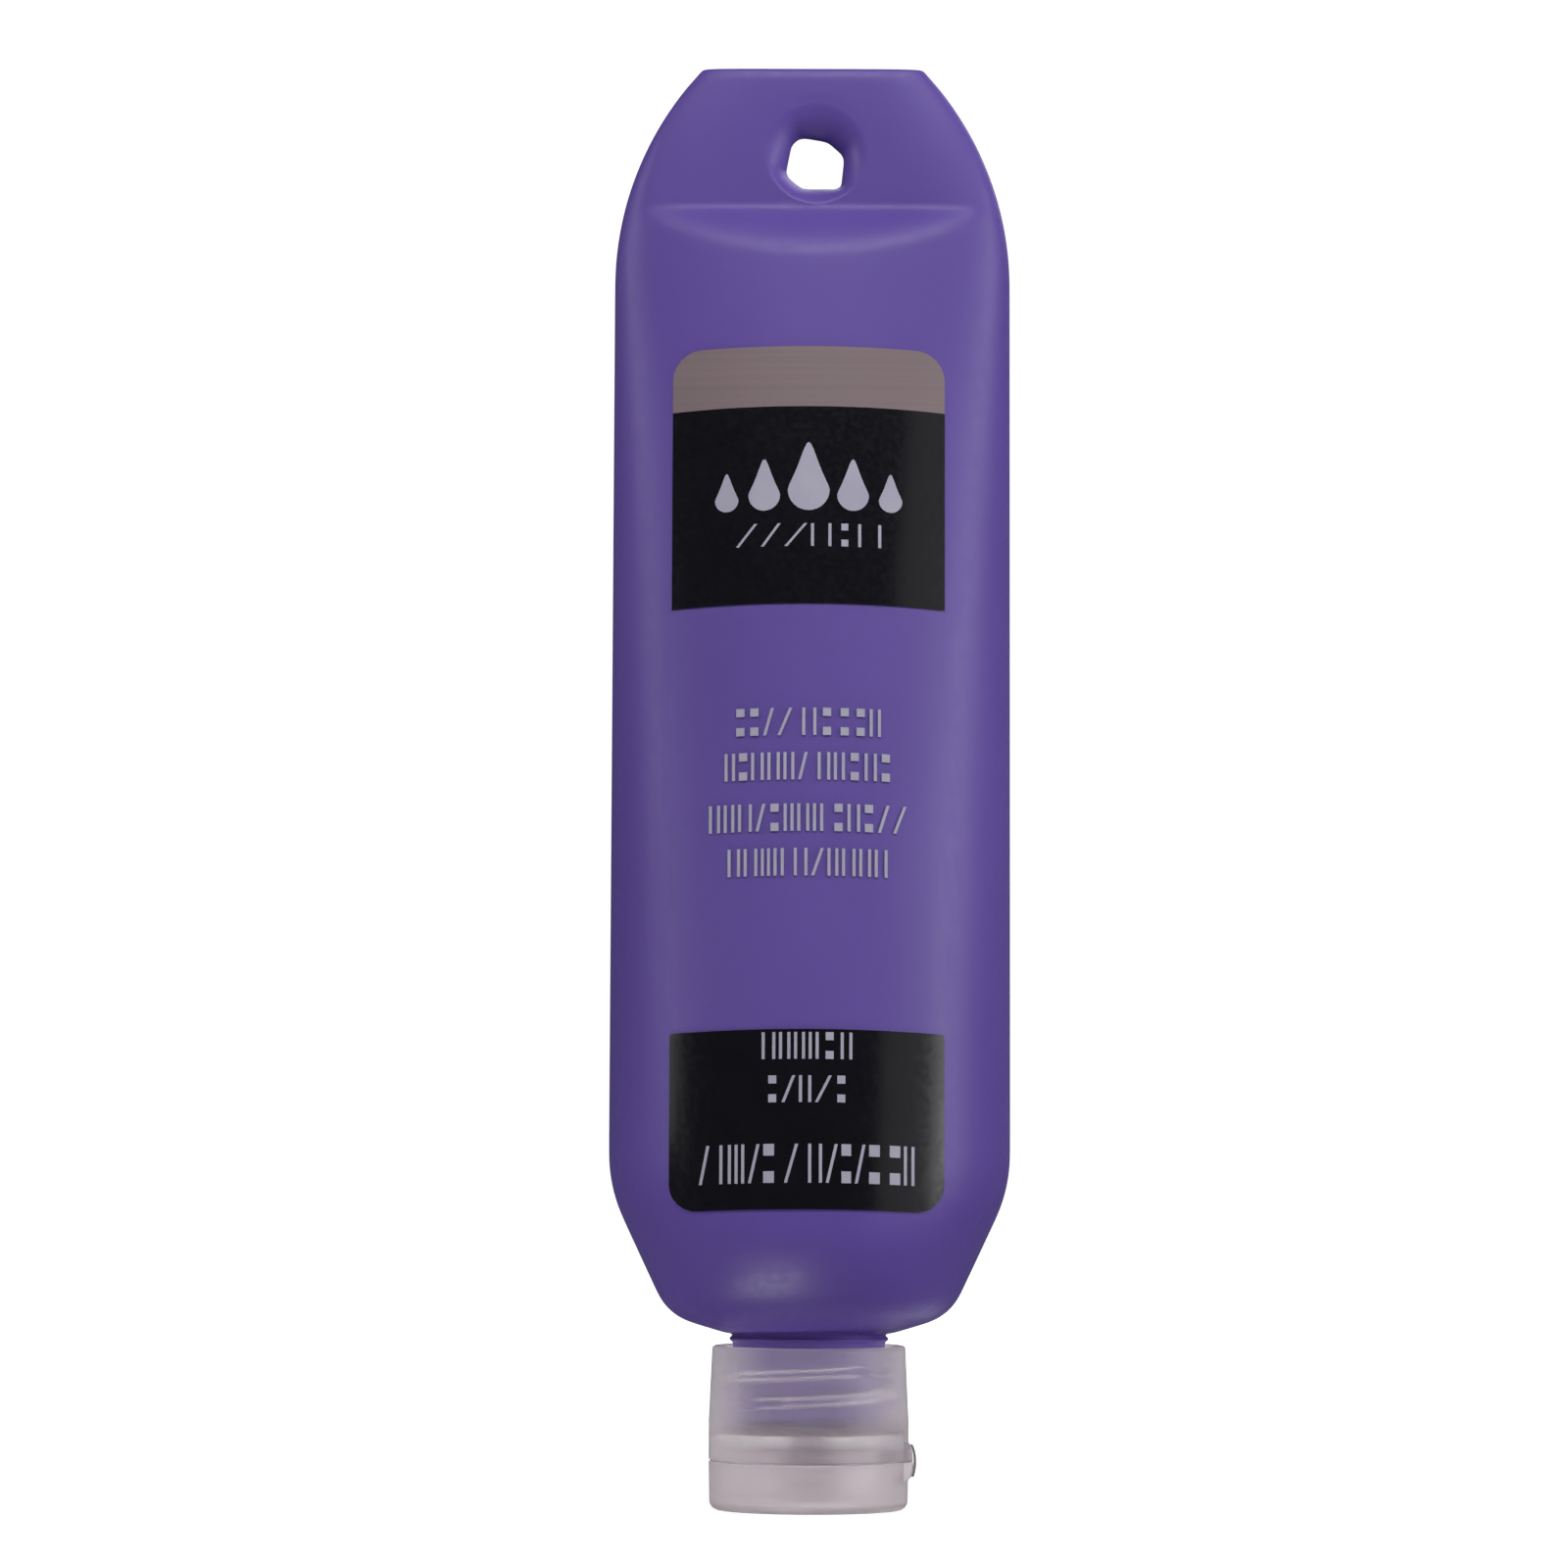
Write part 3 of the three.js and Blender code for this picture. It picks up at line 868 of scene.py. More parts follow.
@dataclass(frozen=True)
class HangHole:
    """The hole in the tab: a dish pressed into each face, which rolls in to the opening."""

    centre_x: float = 0.4 * MM
    centre: float = 161 * MM
    opening_centre: float = 159.5 * MM
    opening: tuple[Corner, ...] = (
        (3.35, -2.9, 0.7),
        (3.75, 1.0, 1.2),
        (1.8, 2.75, 2.0),
        (-2.3, 3.45, 1.6),
        (-3.25, -1.3, 1.2),
        (-1.2, -2.95, 2.0),
    )
    dish_radius: float = 4.9 * MM
    dish_slope: float = 0.48
    flatten: float = 0.96
    web_half: float = 0.5 * MM
    outer_radius: float = 6.9 * MM
    lip: float = 0.3 * MM
    lip_curve: tuple[Point, ...] = (
        (0, 0),
        (0.08, 0.012),
        (0.17, 0.045),
        (0.27, 0.1),
        (0.38, 0.175),
        (0.5, 0.28),
        (0.62, 0.41),
        (0.74, 0.56),
        (0.85, 0.73),
        (0.94, 0.89),
        (1, 1),
    )

    def opening_at(self, angle: float) -> Point:
        """A place on the opening's edge, which is round above and squarer below.

        Args:
            angle: The angle about the hole's axis.

        Returns:
            The point, as x and height.
        """
        outline = [
            (x, z + self.opening_centre)
            for x, z in rounded([tuple(value * MM for value in corner) for corner in self.opening], 6)
        ]
        return ray_hit(outline, (self.centre_x, self.opening_centre), angle)

    def rings(self, angle: float, face: float) -> list[Corner]:
        """Where one spoke of the hole passes, over the rolled lip and down to the opening.

        Args:
            angle: The spoke's angle about the hole's axis.
            face: How far the tab's face stands from the middle plane there.

        Returns:
            (x, distance from the middle plane, z) of each ring, from the outside in.
        """
        rim = self.dish_radius + self.dish_slope * (face - self.web_half) + self.lip
        rim_x = self.centre_x + rim * math.cos(angle) * self.flatten
        rim_z = self.centre + rim * math.sin(angle)
        x, z = self.opening_at(angle)
        spots = []
        for share, sunk in self.lip_curve:
            depth = sunk * (face - self.web_half)
            spots.append((rim_x + share * (x - rim_x), face - depth, rim_z + share * (z - rim_z)))
        spots.append((x, self.web_half * 0.5, z))
        return spots

    def cut(self, mesh: Mesh, form: BottleForm) -> None:
        """Opens the hole through a bottle's mesh, ring by ring, from both faces."""
        loops = [self.sink(mesh, form, side) for side in Side]
        bmesh.ops.bridge_loops(mesh, edges=loops[0] + loops[1])

    def sink(self, mesh: Mesh, form: BottleForm, side: Side) -> list[bmesh.types.BMEdge]:
        """Presses one face's dish into the tab.

        Args:
            mesh: The bottle's outer mesh.
            form: The bottle's shape.
            side: The face that is pressed.

        Returns:
            The open edges at the opening.
        """

        def inside(face: bmesh.types.BMFace) -> bool:
            """Whether a face lies within the dish's outer ring, on this side."""
            spot = face.calc_center_median()
            away = math.hypot((spot.x - self.centre_x) / self.flatten, spot.z - self.centre)
            return spot.y * side.value > 0 and away < self.outer_radius

        gone = [face for face in mesh.faces if inside(face)]
        bmesh.ops.delete(mesh, geom=gone, context="FACES")
        edges = [e for e in mesh.edges if e.is_boundary and e.verts[0].co.z > form.ledge - 2 * MM]
        edges = [e for e in edges if e.verts[0].co.y * side.value > 0]
        spokes = {}
        for vert in {v for e in edges for v in e.verts}:
            angle = math.atan2(vert.co.z - self.centre, (vert.co.x - self.centre_x) / self.flatten)
            spokes[vert] = angle
            vert.co.x = self.centre_x + self.outer_radius * math.cos(angle) * self.flatten
            vert.co.z = self.centre + self.outer_radius * math.sin(angle)
            vert.co.y = side.value * form.tab_limit(vert.co.z, 0)
        for ring in range(len(self.lip_curve) + 1):
            grown = bmesh.ops.extrude_edge_only(mesh, edges=edges)["geom"]
            fresh = verts_in(grown)
            edges = [e for e in grown if isinstance(e, bmesh.types.BMEdge) and e.is_boundary]
            edges = [e for e in edges if all(v in fresh for v in e.verts)]
            moved = {}
            for vert in fresh:
                old = next(e.other_vert(vert) for e in vert.link_edges if e.other_vert(vert) in spokes)
                angle = spokes[old]
                x, y, z = self.rings(angle, form.tab_limit(vert.co.z, 0))[ring]
                moved[vert] = (angle, Vector((x, side.value * y, z)))
            for vert, (_, spot) in moved.items():
                vert.co = spot
            spokes = {vert: angle for vert, (angle, _) in moved.items()}
        return edges


@dataclass(frozen=True)
class Bottle:
    """The blow-moulded bottle, with the paint inside it."""

    form: BottleForm
    hole: HangHole = HangHole()
    wall: float = 1 * MM
    bore_radius: float = 7.3 * MM
    cavity_top: float = 150 * MM
    paint_gap: float = 0.3 * MM
    paint_top: float = 134.2 * MM
    thread: Thread = Thread(
        root=8.7 * MM,
        crest=9.95 * MM,
        root_width=2.2 * MM,
        crest_width=1.1 * MM,
        start_height=11.2 * MM,
        start_angle=math.radians(-135),
        turns=1.5,
    )
    bead: tuple[Point, ...] = (
        (0, -0.75),
        (0.75, -0.6),
        (1, -0.42),
        (0.85, -0.22),
        (0.25, -0.1),
        (0.2, 0.05),
    )
    neck_end: tuple[Point, ...] = ((-0.35, 0), (-0.1, 0.02), (0, 0.15), (0, 0.5))
    foot_fillet: float = 0.9 * MM
    softening_rounds: int = 4
    softening: float = 0.35
    segments: int = 96

    def outer_shell(self) -> Mesh:
        """Returns the outer surface, open at the neck's end."""
        form = self.form
        land, neck, top = form.land, form.neck_radius, form.neck_top
        outline = [(neck + out * MM, land + up * MM) for out, up in self.neck_end]
        outline += line((neck, land + 1.5 * MM), (neck, top - 1.2 * MM), 1.6 * MM)
        outline += [(neck + form.bead * out, top + up * MM) for out, up in self.bead]
        outline += [(neck + 0.3 * MM, form.foot_height(neck + 0.3 * MM, 0) + 0.16 * MM)]
        outline += form.body_outline(0, neck + self.foot_fillet) + form.crown_outline()
        mesh = spun(outline, self.segments)
        for vert in mesh.verts:
            form.press(vert.co, 0)
        self.soften_foot(mesh)
        self.hole.cut(mesh, form)
        return mesh

    def soften_foot(self, mesh: Mesh) -> None:
        """Evens out the turn from the face's shoulder into the foot.

        Args:
            mesh: The outer shell.
        """
        low, high = self.form.neck_top + 1.2 * MM, self.form.face_shoulder
        turn = [v for v in mesh.verts if low < v.co.z < high]
        for _ in range(self.softening_rounds):
            bmesh.ops.smooth_vert(mesh, verts=turn, factor=self.softening, use_axis_y=True)

    def inner_shell(self, inset: float, bore: float, bottom: float, top: float) -> Mesh:
        """Makes a surface inside the bottle, closed at the top and open at the bottom.

        Args:
            inset: How far it lies inside the outer surface.
            bore: Its radius in the neck.
            bottom: Height of its open end.
            top: Height of its flat top.

        Returns:
            The surface.
        """
        outline = line((bore, bottom), (bore, self.form.foot_height(bore, inset) - 0.4 * MM), 2 * MM)
        body = self.form.body_outline(inset, bore)
        outline += [point for point in body if point[1] < top - 0.5 * MM]
        widest = outline[-1][0]
        if top > self.form.side_top:
            outline += [(widest - 0.3 * MM, top - 1.5 * MM)]
            widest -= 0.6 * MM
        outline += [(widest, top - 0.2 * MM), (widest * 0.97, top), (widest * 0.5, top), (0, top)]
        mesh = spun(outline, self.segments // 2)
        for vert in mesh.verts:
            self.form.press(vert.co, inset)
        return mesh

    def build(self, finish: SatinPolyethylene) -> Item:
        """Returns the bottle, a closed shell with its thread.

        Args:
            finish: The plastic.

        Returns:
            The object.
        """
        mesh = self.outer_shell()
        absorb(mesh, self.cavity())
        low = self.form.land + 0.01 * MM
        bmesh.ops.bridge_loops(mesh, edges=ring_edges(mesh, lambda spot: spot.z < low))
        bmesh.ops.recalc_face_normals(mesh, faces=mesh.faces)
        absorb(mesh, self.thread.build())
        item = finish_object("squeeze_bottle", mesh, finish.build())
        subdivision = item.modifiers.new("smooth_wall", "SUBSURF")
        subdivision.levels = 1
        subdivision.render_levels = 1
        return item

    def cavity(self) -> Mesh:
        """Returns the bottle's inner surface, cut as finely round as the outer one."""
        finer = Bottle(self.form, segments=self.segments * 2)
        return finer.inner_shell(self.wall, self.bore_radius, self.form.land, self.cavity_top)

    def build_paint(self, finish: WetPaint) -> Item:
        """Returns the paint that fills the bottle up to its level.

        Args:
            finish: The paint's finish.

        Returns:
            The object.
        """
        inset = self.wall + self.paint_gap
        bottom = self.form.land + self.paint_gap
        mesh = self.inner_shell(inset, self.bore_radius - self.paint_gap, bottom, self.paint_top)
        bmesh.ops.holes_fill(mesh, edges=mesh.edges, sides=self.segments)
        bmesh.ops.recalc_face_normals(mesh, faces=mesh.faces)
        return finish_object("paint", mesh, finish.build())


# ---- Labels ----


@dataclass(frozen=True)
class FacePrint:
    """Lays flat shapes on one face of the bottle."""

    form: BottleForm
    side: Side
    shift: float = -0.4 * MM
    sag: float = 0.62 * MM
    sag_half: float = 16 * MM

    def lay(self, mesh: Mesh, offset: float, thickness: float) -> None:
        """Bends a flat mesh in the XZ plane onto the face and gives it a thickness.

        Its sides sag a little, as a label's do on a face that tapers upwards, and it sits
        slightly off the middle, as it was stuck on.

        Args:
            mesh: The flat mesh, seen from the front. The back face sees it turned round.
            offset: Gap between the face and the shape.
            thickness: How thick the shape is.
        """
        sign = self.side.value
        for vert in mesh.verts:
            vert.co.z -= self.sag * (vert.co.x / self.sag_half) ** 2
            vert.co.x += self.shift
            vert.co.y = sign * (self.form.face_at(vert.co.x, vert.co.z) + offset)
            vert.co.x *= -sign
        grown = bmesh.ops.extrude_face_region(mesh, geom=mesh.faces[:])["geom"]
        for vert in verts_in(grown):
            vert.co.y += sign * thickness
        bmesh.ops.recalc_face_normals(mesh, faces=mesh.faces)

    def sliced(self, mesh: Mesh, cell: float) -> Mesh:
        """Cuts a flat mesh in the XZ plane into a grid, so that it can bend.

        Args:
            mesh: The flat mesh.
            cell: Width of the grid. Its rows are three times as high.

        Returns:
            The same mesh.
        """
        for axis, pitch in ((0, cell), (2, cell * 3)):
            low = min(vert.co[axis] for vert in mesh.verts)
            high = max(vert.co[axis] for vert in mesh.verts)
            normal = [0, 0, 0]
            normal[axis] = 1
            for i in range(1, math.ceil((high - low) / pitch)):
                spot = [0, 0, 0]
                spot[axis] = low + i * pitch
                geometry = mesh.verts[:] + mesh.edges[:] + mesh.faces[:]
                bmesh.ops.bisect_plane(mesh, geom=geometry, dist=WELD, plane_co=spot, plane_no=normal)
        return mesh


@dataclass(frozen=True)
class LabelSizes:
    """Where the label's fields and rows lie on the face."""

    half_width: float = 16 * MM
    bottom: float = 35.7 * MM
    lower_panel_top: float = 56.5 * MM
    upper_panel_bottom: float = 106.2 * MM
    band_bottom: float = 129.6 * MM
    top: float = 136.8 * MM
    corner: float = 3.3 * MM
    small_corner: float = 0.3 * MM
    film_gap: float = 0.04 * MM
    film_thick: float = 0.05 * MM
    ink_gap: float = 0.12 * MM
    ink_thick: float = 0.03 * MM
    mark_gap: float = 0.18 * MM
    cell: float = 1.6 * MM
    mark_cell: float = 0.8 * MM


@dataclass(frozen=True)
class MarkRow:
    """A row of plain marks that stand in for a line of print, in millimetres."""

    height: float
    width: float
    tall: float
    words: tuple[int, ...]


@dataclass(frozen=True)
class Label:
    """One printed label: a clear film with a band, two dark panels and pale marks."""

    form: BottleForm
    side: Side
    rows: tuple[MarkRow, ...]
    seed: int
    sizes: LabelSizes = LabelSizes()
    mark_gap: float = 0.42 * MM
    word_gap: float = 1.15 * MM
    post_width: float = 0.36 * MM
    drop_foot: float = 117.2 * MM
    drops: tuple[Point, ...] = ((-9.6, 4.6), (-5.2, 6.2), (0, 8.2), (5.2, 6.2), (9.6, 4.6))
    drop_roundness: float = 0.3
    crease_angle: float = 40

    @property
    def printer(self) -> FacePrint:
        """What lays the shapes on this label's face."""
        return FacePrint(self.form, self.side)

    def field(self, bottom: float, top: float, low_round: float, high_round: float) -> Mesh:
        """A flat field as wide as the label, with its lower and upper corners rounded.

        Args:
            bottom: Its lower edge.
            top: Its upper edge.
            low_round: Radius of its lower corners.
            high_round: Radius of its upper corners.

        Returns:
            The flat mesh, sliced.
        """
        half = self.sizes.half_width
        corners = [
            (-half, bottom, low_round),
            (half, bottom, low_round),
            (half, top, high_round),
            (-half, top, high_round),
        ]
        mesh = bmesh.new()
        mesh.faces.new([mesh.verts.new((x, 0, z)) for x, z in rounded(corners, 6)])
        return self.printer.sliced(mesh, self.sizes.cell)

    def build_film(self, name: str, finish: ClearFilm) -> Item:
        """Returns the clear film."""
        mesh = self.field(self.sizes.bottom, self.sizes.top, self.sizes.corner, self.sizes.corner)
        return self.printed(name, mesh, self.sizes.film_gap, self.sizes.film_thick, finish.build())

    def build_band(self, name: str, material: Material) -> Item:
        """Returns the pale band along the label's top."""
        mesh = self.field(self.sizes.band_bottom, self.sizes.top, 0, self.sizes.corner)
        return self.printed(name, mesh, self.sizes.ink_gap, self.sizes.ink_thick, material)

    def build_panels(self, name: str, material: Material) -> Item:
        """Returns the two dark panels.

        Args:
            name: The object's name.
            material: The ink.

        Returns:
            The object.
        """
        sizes = self.sizes
        mesh = self.field(sizes.upper_panel_bottom, sizes.band_bottom, 0, 0)
        absorb(mesh, self.field(sizes.bottom, sizes.lower_panel_top, sizes.corner, sizes.small_corner))
        return self.printed(name, mesh, sizes.ink_gap, sizes.ink_thick, material)

    def build_marks(self, name: str, material: Material) -> Item:
        """Returns every row of marks, and the drops in the upper panel on the front.

        Args:
            name: The object's name.
            material: The ink.

        Returns:
            The object.
        """
        mesh = bmesh.new()
        dice = random.Random(self.seed)
        for row in self.rows:
            self.add_row(mesh, row, dice)
        if self.side is Side.FRONT:
            self.add_drops(mesh)
        self.printer.sliced(mesh, self.sizes.mark_cell)
        return self.printed(name, mesh, self.sizes.mark_gap, self.sizes.ink_thick, material)

    def add_row(self, mesh: Mesh, row: MarkRow, dice: random.Random) -> None:
        """Adds one row of marks, of uneven widths that fill the row's width.

        Args:
            mesh: The flat mesh that grows.
            row: The row.
            dice: Where the uneven widths come from.
        """
        shares = [[dice.uniform(0.8, 1.25) for _ in range(count)] for count in row.words]
        gaps = self.mark_gap * (sum(row.words) - len(row.words)) + self.word_gap * (len(row.words) - 1)
        unit = (row.width * MM - gaps) / sum(sum(word) for word in shares)
        x = -row.width * MM / 2
        for word in shares:
            for share in word:
                wide = share * unit
                self.add_mark(mesh, x, wide, row, dice.random())
                x += wide + self.mark_gap
            x += self.word_gap - self.mark_gap

    def add_mark(
        self, mesh: Mesh, x: float, wide: float, row: MarkRow, chance: float
    ) -> None:
        """Adds one mark: two thin posts, two stacked blocks or a slash.

        Args:
            mesh: The flat mesh that grows.
            x: Its left edge.
            wide: Its width.
            row: The row that it stands in.
            chance: 0 to 1, which picks its kind.
        """
        low, high = (row.height - row.tall / 2) * MM, (row.height + row.tall / 2) * MM
        post, block = min(self.post_width, wide * 0.32), row.tall * MM * 0.3
        if chance < 0.45:
            boxes = [(x, x, low, high), (x + wide - post, x + wide - post, low, high)]
            across = post
        elif chance < 0.75:
            levels = ((low, low + block), (high - block, high))
            across = min(wide, block)
            inset = x + (wide - across) / 2
            boxes = [(inset, inset, bottom, top) for bottom, top in levels]
        else:
            boxes = [(x, x + wide - post, low, high)]
            across = post
        for foot, head, bottom, top in boxes:
            corners = ((foot, bottom), (foot + across, bottom), (head + across, top), (head, top))
            mesh.faces.new([mesh.verts.new((cx, 0, cz)) for cx, cz in corners])

    def add_drops(self, mesh: Mesh) -> None:
        """Adds a row of paint drops, the largest in the middle.

        Args:
            mesh: The flat mesh that grows.
        """
        for x, tall in self.drops:
            radius = tall * MM * self.drop_roundness
            outline = []
            for along, up in arc((0, 0), radius, 0, FULL_TURN, 32)[:-1]:
                tip = max(up, 0) / radius
                height = self.drop_foot + radius + up * (1 + 1.3 * tip**2)
                outline.append((x * MM + along * (1 - 0.45 * tip**1.5), height))
            mesh.faces.new([mesh.verts.new((cx, 0, cz)) for cx, cz in outline])

    def printed(self, name: str, mesh: Mesh, gap: float, thick: float, material: Material) -> Item:
        """Lays flat shapes on the face and makes their object, with crisp edges.

        Args:
            name: The object's name.
            mesh: The flat shapes.
            gap: How far they stand off the bottle.
            thick: How thick they are.
            material: Their material.

        Returns:
            The object.
        """
        self.printer.lay(mesh, gap, thick)
        item = finish_object(name, mesh, material)
        crease_sharp_edges(item, self.crease_angle)
        return item


# ---- Cap ----


@dataclass(frozen=True)
class FlipTopCap:
    """The cap's base, its lid, the strap between them and the liner inside."""

    top: float
    lid_foot: float
    parting: float = 5.8 * MM
    parting_gap: float = 0.16 * MM
    radius: float = 11.8 * MM
    top_radius: float = 11.4 * MM
    bore: float = 10.15 * MM
    deck_top: float = 9 * MM
    deck: float = 7.7 * MM
    orifice: float = 1.5 * MM
    spout_tip: float = 3.9 * MM
    lid_wall: float = 1.2 * MM
    hinge_x: float = 12.45 * MM
    leaf_x: float = 12.25 * MM
    leaf_half: float = 3.8 * MM
    strap_half: float = 3.3 * MM
    strap_reach: float = 1.75 * MM
    spout_radius: float = 2.7 * MM
    spout_root: float = 3.4 * MM
    snap_inner: float = 8.7 * MM
    snap_outer: float = 9.7 * MM
    snap_tip: float = 5 * MM
    waist: float = 10.5 * MM
    gate_radius: float = 1.1 * MM
    gate_rim: float = 1.35 * MM
    gate_depth: float = 0.25 * MM
    catch_low: float = 3.3 * MM
    catch_high: float = 3.9 * MM
    catch_depth: float = 0.25 * MM
    seal_inner: float = 3.3 * MM
    seal_outer: float = 4 * MM
    seal_tip: float = 4.5 * MM
    pin_radius: float = 1.15 * MM
    pin_tip: float = 5.4 * MM
    liner_inner: float = 5.5 * MM
    liner_outer: float = 9.7 * MM
    crease_angle: float = 38
    segments: int = 120
    thread: Thread = Thread(
        root=10.45 * MM,
        crest=9.3 * MM,
        root_width=1.7 * MM,
        crest_width=0.7 * MM,
        start_height=12.65 * MM,
        start_angle=math.radians(-135),
        turns=1.25,
    )

    def leaf(self, direction: int) -> Mesh:
        """One leaf of the hinge, a rounded lump that grows out of the wall.

        Args:
            direction: 1 for the base's leaf, above the parting line, and -1 for the lid's.

        Returns:
            The leaf, a closed mesh.
        """
        edge = self.parting + direction * self.parting_gap / 2
        root, shelf = self.radius - 0.9 * MM, self.radius - 0.4 * MM
        outline = [(root, edge), (self.leaf_x, edge)]
        for out, up in arc((0, 0), 1, 0, math.pi / 2, 5)[1:]:
            height = edge + direction * (0.5 * MM + 1.7 * MM * up)
            outline.append((shelf + (self.leaf_x - shelf) * out, height))
        outline.append((root, outline[-1][1]))
        mesh = bmesh.new()
        face = mesh.faces.new([mesh.verts.new((x, -self.leaf_half, z)) for x, z in outline])
        grown = bmesh.ops.extrude_face_region(mesh, geom=[face])["geom"]
        for vert in verts_in(grown):
            vert.co.y = self.leaf_half
        bmesh.ops.recalc_face_normals(mesh, faces=mesh.faces)
        ends = [e for e in mesh.edges if all(v.co.x > self.radius - 0.5 * MM for v in e.verts)]
        ends = [e for e in ends if abs(e.verts[0].co.y - e.verts[1].co.y) < 1e-9]
        bmesh.ops.bevel(
            mesh, geom=ends, offset=0.28 * MM, segments=3, profile=0.5, affect="EDGES", material=-1
        )
        return mesh

    def build_base(self, material: Material) -> Item:
        """Returns the base: skirt, inner thread, deck, spout and the ring that the lid snaps over.

        Args:
            material: The plastic.

        Returns:
            The object.
        """
        rim = self.parting + self.parting_gap / 2
        corners = [
            (self.orifice, self.spout_tip, 0.2),
            (self.spout_radius, self.spout_tip, 0.45),
            (self.spout_root, self.deck, 0.5),
            (self.snap_inner, self.deck, 0.4),
            (self.snap_inner, self.snap_tip, 0.2),
            (self.snap_outer, self.snap_tip, 0.35),
            (self.snap_outer, rim, 0.15),
            (self.radius, rim, 0.18),
            (self.radius, self.waist, 6),
            (self.top_radius, self.top, 0.4),
            (self.bore, self.top, 0.3),
            (self.bore, self.deck_top, 0.35),
            (self.orifice, self.deck_top, 0.2),
        ]
        body = spun(rounded([(r, z, b * MM) for r, z, b in corners]), self.segments, closed=True)
        solid = united(body, [self.thread.build(), self.leaf(1)])
        return self.crisp("cap_base_part", solid, material)

    def build_lid(self, material: Material) -> Item:
        """Returns the lid: shell, sealing ring and the pin that plugs the spout.

        Args:
            material: The plastic.

        Returns:
            The object.
        """
        rim = self.parting - self.parting_gap / 2
        inner = self.radius - self.lid_wall
        foot, end = self.lid_foot, self.lid_foot + self.lid_wall
        corners = [
            (0, foot + self.gate_depth, 0),
            (self.gate_radius, foot + self.gate_depth, 0.1),
            (self.gate_rim, foot, 0.1),
            (self.radius - 0.1 * MM, foot, 1.05),
            (self.radius, rim, 0.18),
            (inner, rim, 0.2),
            (inner - self.catch_depth, self.catch_high, 0.3),
            (inner, self.catch_low, 0.3),
            (inner, end, 0.5),
            (self.seal_outer, end, 0.3),
            (self.seal_outer, self.seal_tip, 0.2),
            (self.seal_inner, self.seal_tip, 0.2),
            (self.seal_inner, end, 0.3),
            (self.pin_radius, end, 0.3),
            (self.pin_radius, self.pin_tip, 0.4),
            (0, self.pin_tip, 0),
        ]
        body = spun(rounded([(r, z, b * MM) for r, z, b in corners]), self.segments)
        return self.crisp("cap_lid_part", united(body, [self.leaf(-1)]), material)

    def build_strap(self, material: Material) -> Item:
        """Returns the living hinge, a thin strap that bows across the parting line.

        Args:
            material: The plastic.

        Returns:
            The object.
        """
        outer, inner = [], []
        for step in range(17):
            share = step / 8 - 1
            height = self.parting + share * self.strap_reach
            bow = self.hinge_x + (0.22 - 0.30 * share * share) * MM
            thick = (0.22 + 0.12 * share * share) * MM
            outer.append((bow, height))
            inner.append((bow - thick, height))
        mesh = bmesh.new()
        loop = [mesh.verts.new((x, -self.strap_half, z)) for x, z in outer + inner[::-1]]
        count = len(outer)
        faces = []
        for i in range(count - 1):
            quad = (loop[i], loop[i + 1], loop[2 * count - 2 - i], loop[2 * count - 1 - i])
            faces.append(mesh.faces.new(quad))
        slices = 6
        for _ in range(slices):
            grown = bmesh.ops.extrude_face_region(mesh, geom=faces)["geom"]
            faces = [f for f in grown if isinstance(f, bmesh.types.BMFace)]
            for vert in verts_in(grown):
                vert.co.y += 2 * self.strap_half / slices
        bmesh.ops.recalc_face_normals(mesh, faces=mesh.faces)
        return self.crisp("living_hinge_strap", mesh, material)

    def crisp(self, name: str, mesh: Mesh, material: Material) -> Item:
        """Makes a piece's object and marks its hard edges.

        Args:
            name: The object's name.
            mesh: Its mesh, which is freed.
            material: Its material.

        Returns:
            The object.
        """
        item = finish_object(name, mesh, material)
        crease_sharp_edges(item, self.crease_angle)
        return item

    def build_liner(self, finish: LinerFoamAndShade) -> Item:
        """Returns the foam ring between the neck's end and the deck. Its dark grey is partly painted
        shade.

        Args:
            finish: The foam.

        Returns:
            The object.
        """
        low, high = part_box("seal_liner")
        corners = [
            (self.liner_inner, low.z, 0.15 * MM),
            (self.liner_outer, low.z, 0.2 * MM),
            (self.liner_outer, high.z, 0.2 * MM),
            (self.liner_inner, high.z, 0.15 * MM),
        ]
        return finish_object("seal_liner_ring", spun(rounded(corners), 96, closed=True), finish.build())


# ---- Studio ----


@dataclass(frozen=True)
class Lamp:
    """One softbox: where it hangs, its width and height, its power in watts and its aim."""

    name: str
    spot: Corner
    size: Point
    power: float
    target: Corner = (0, 0, 90 * MM)


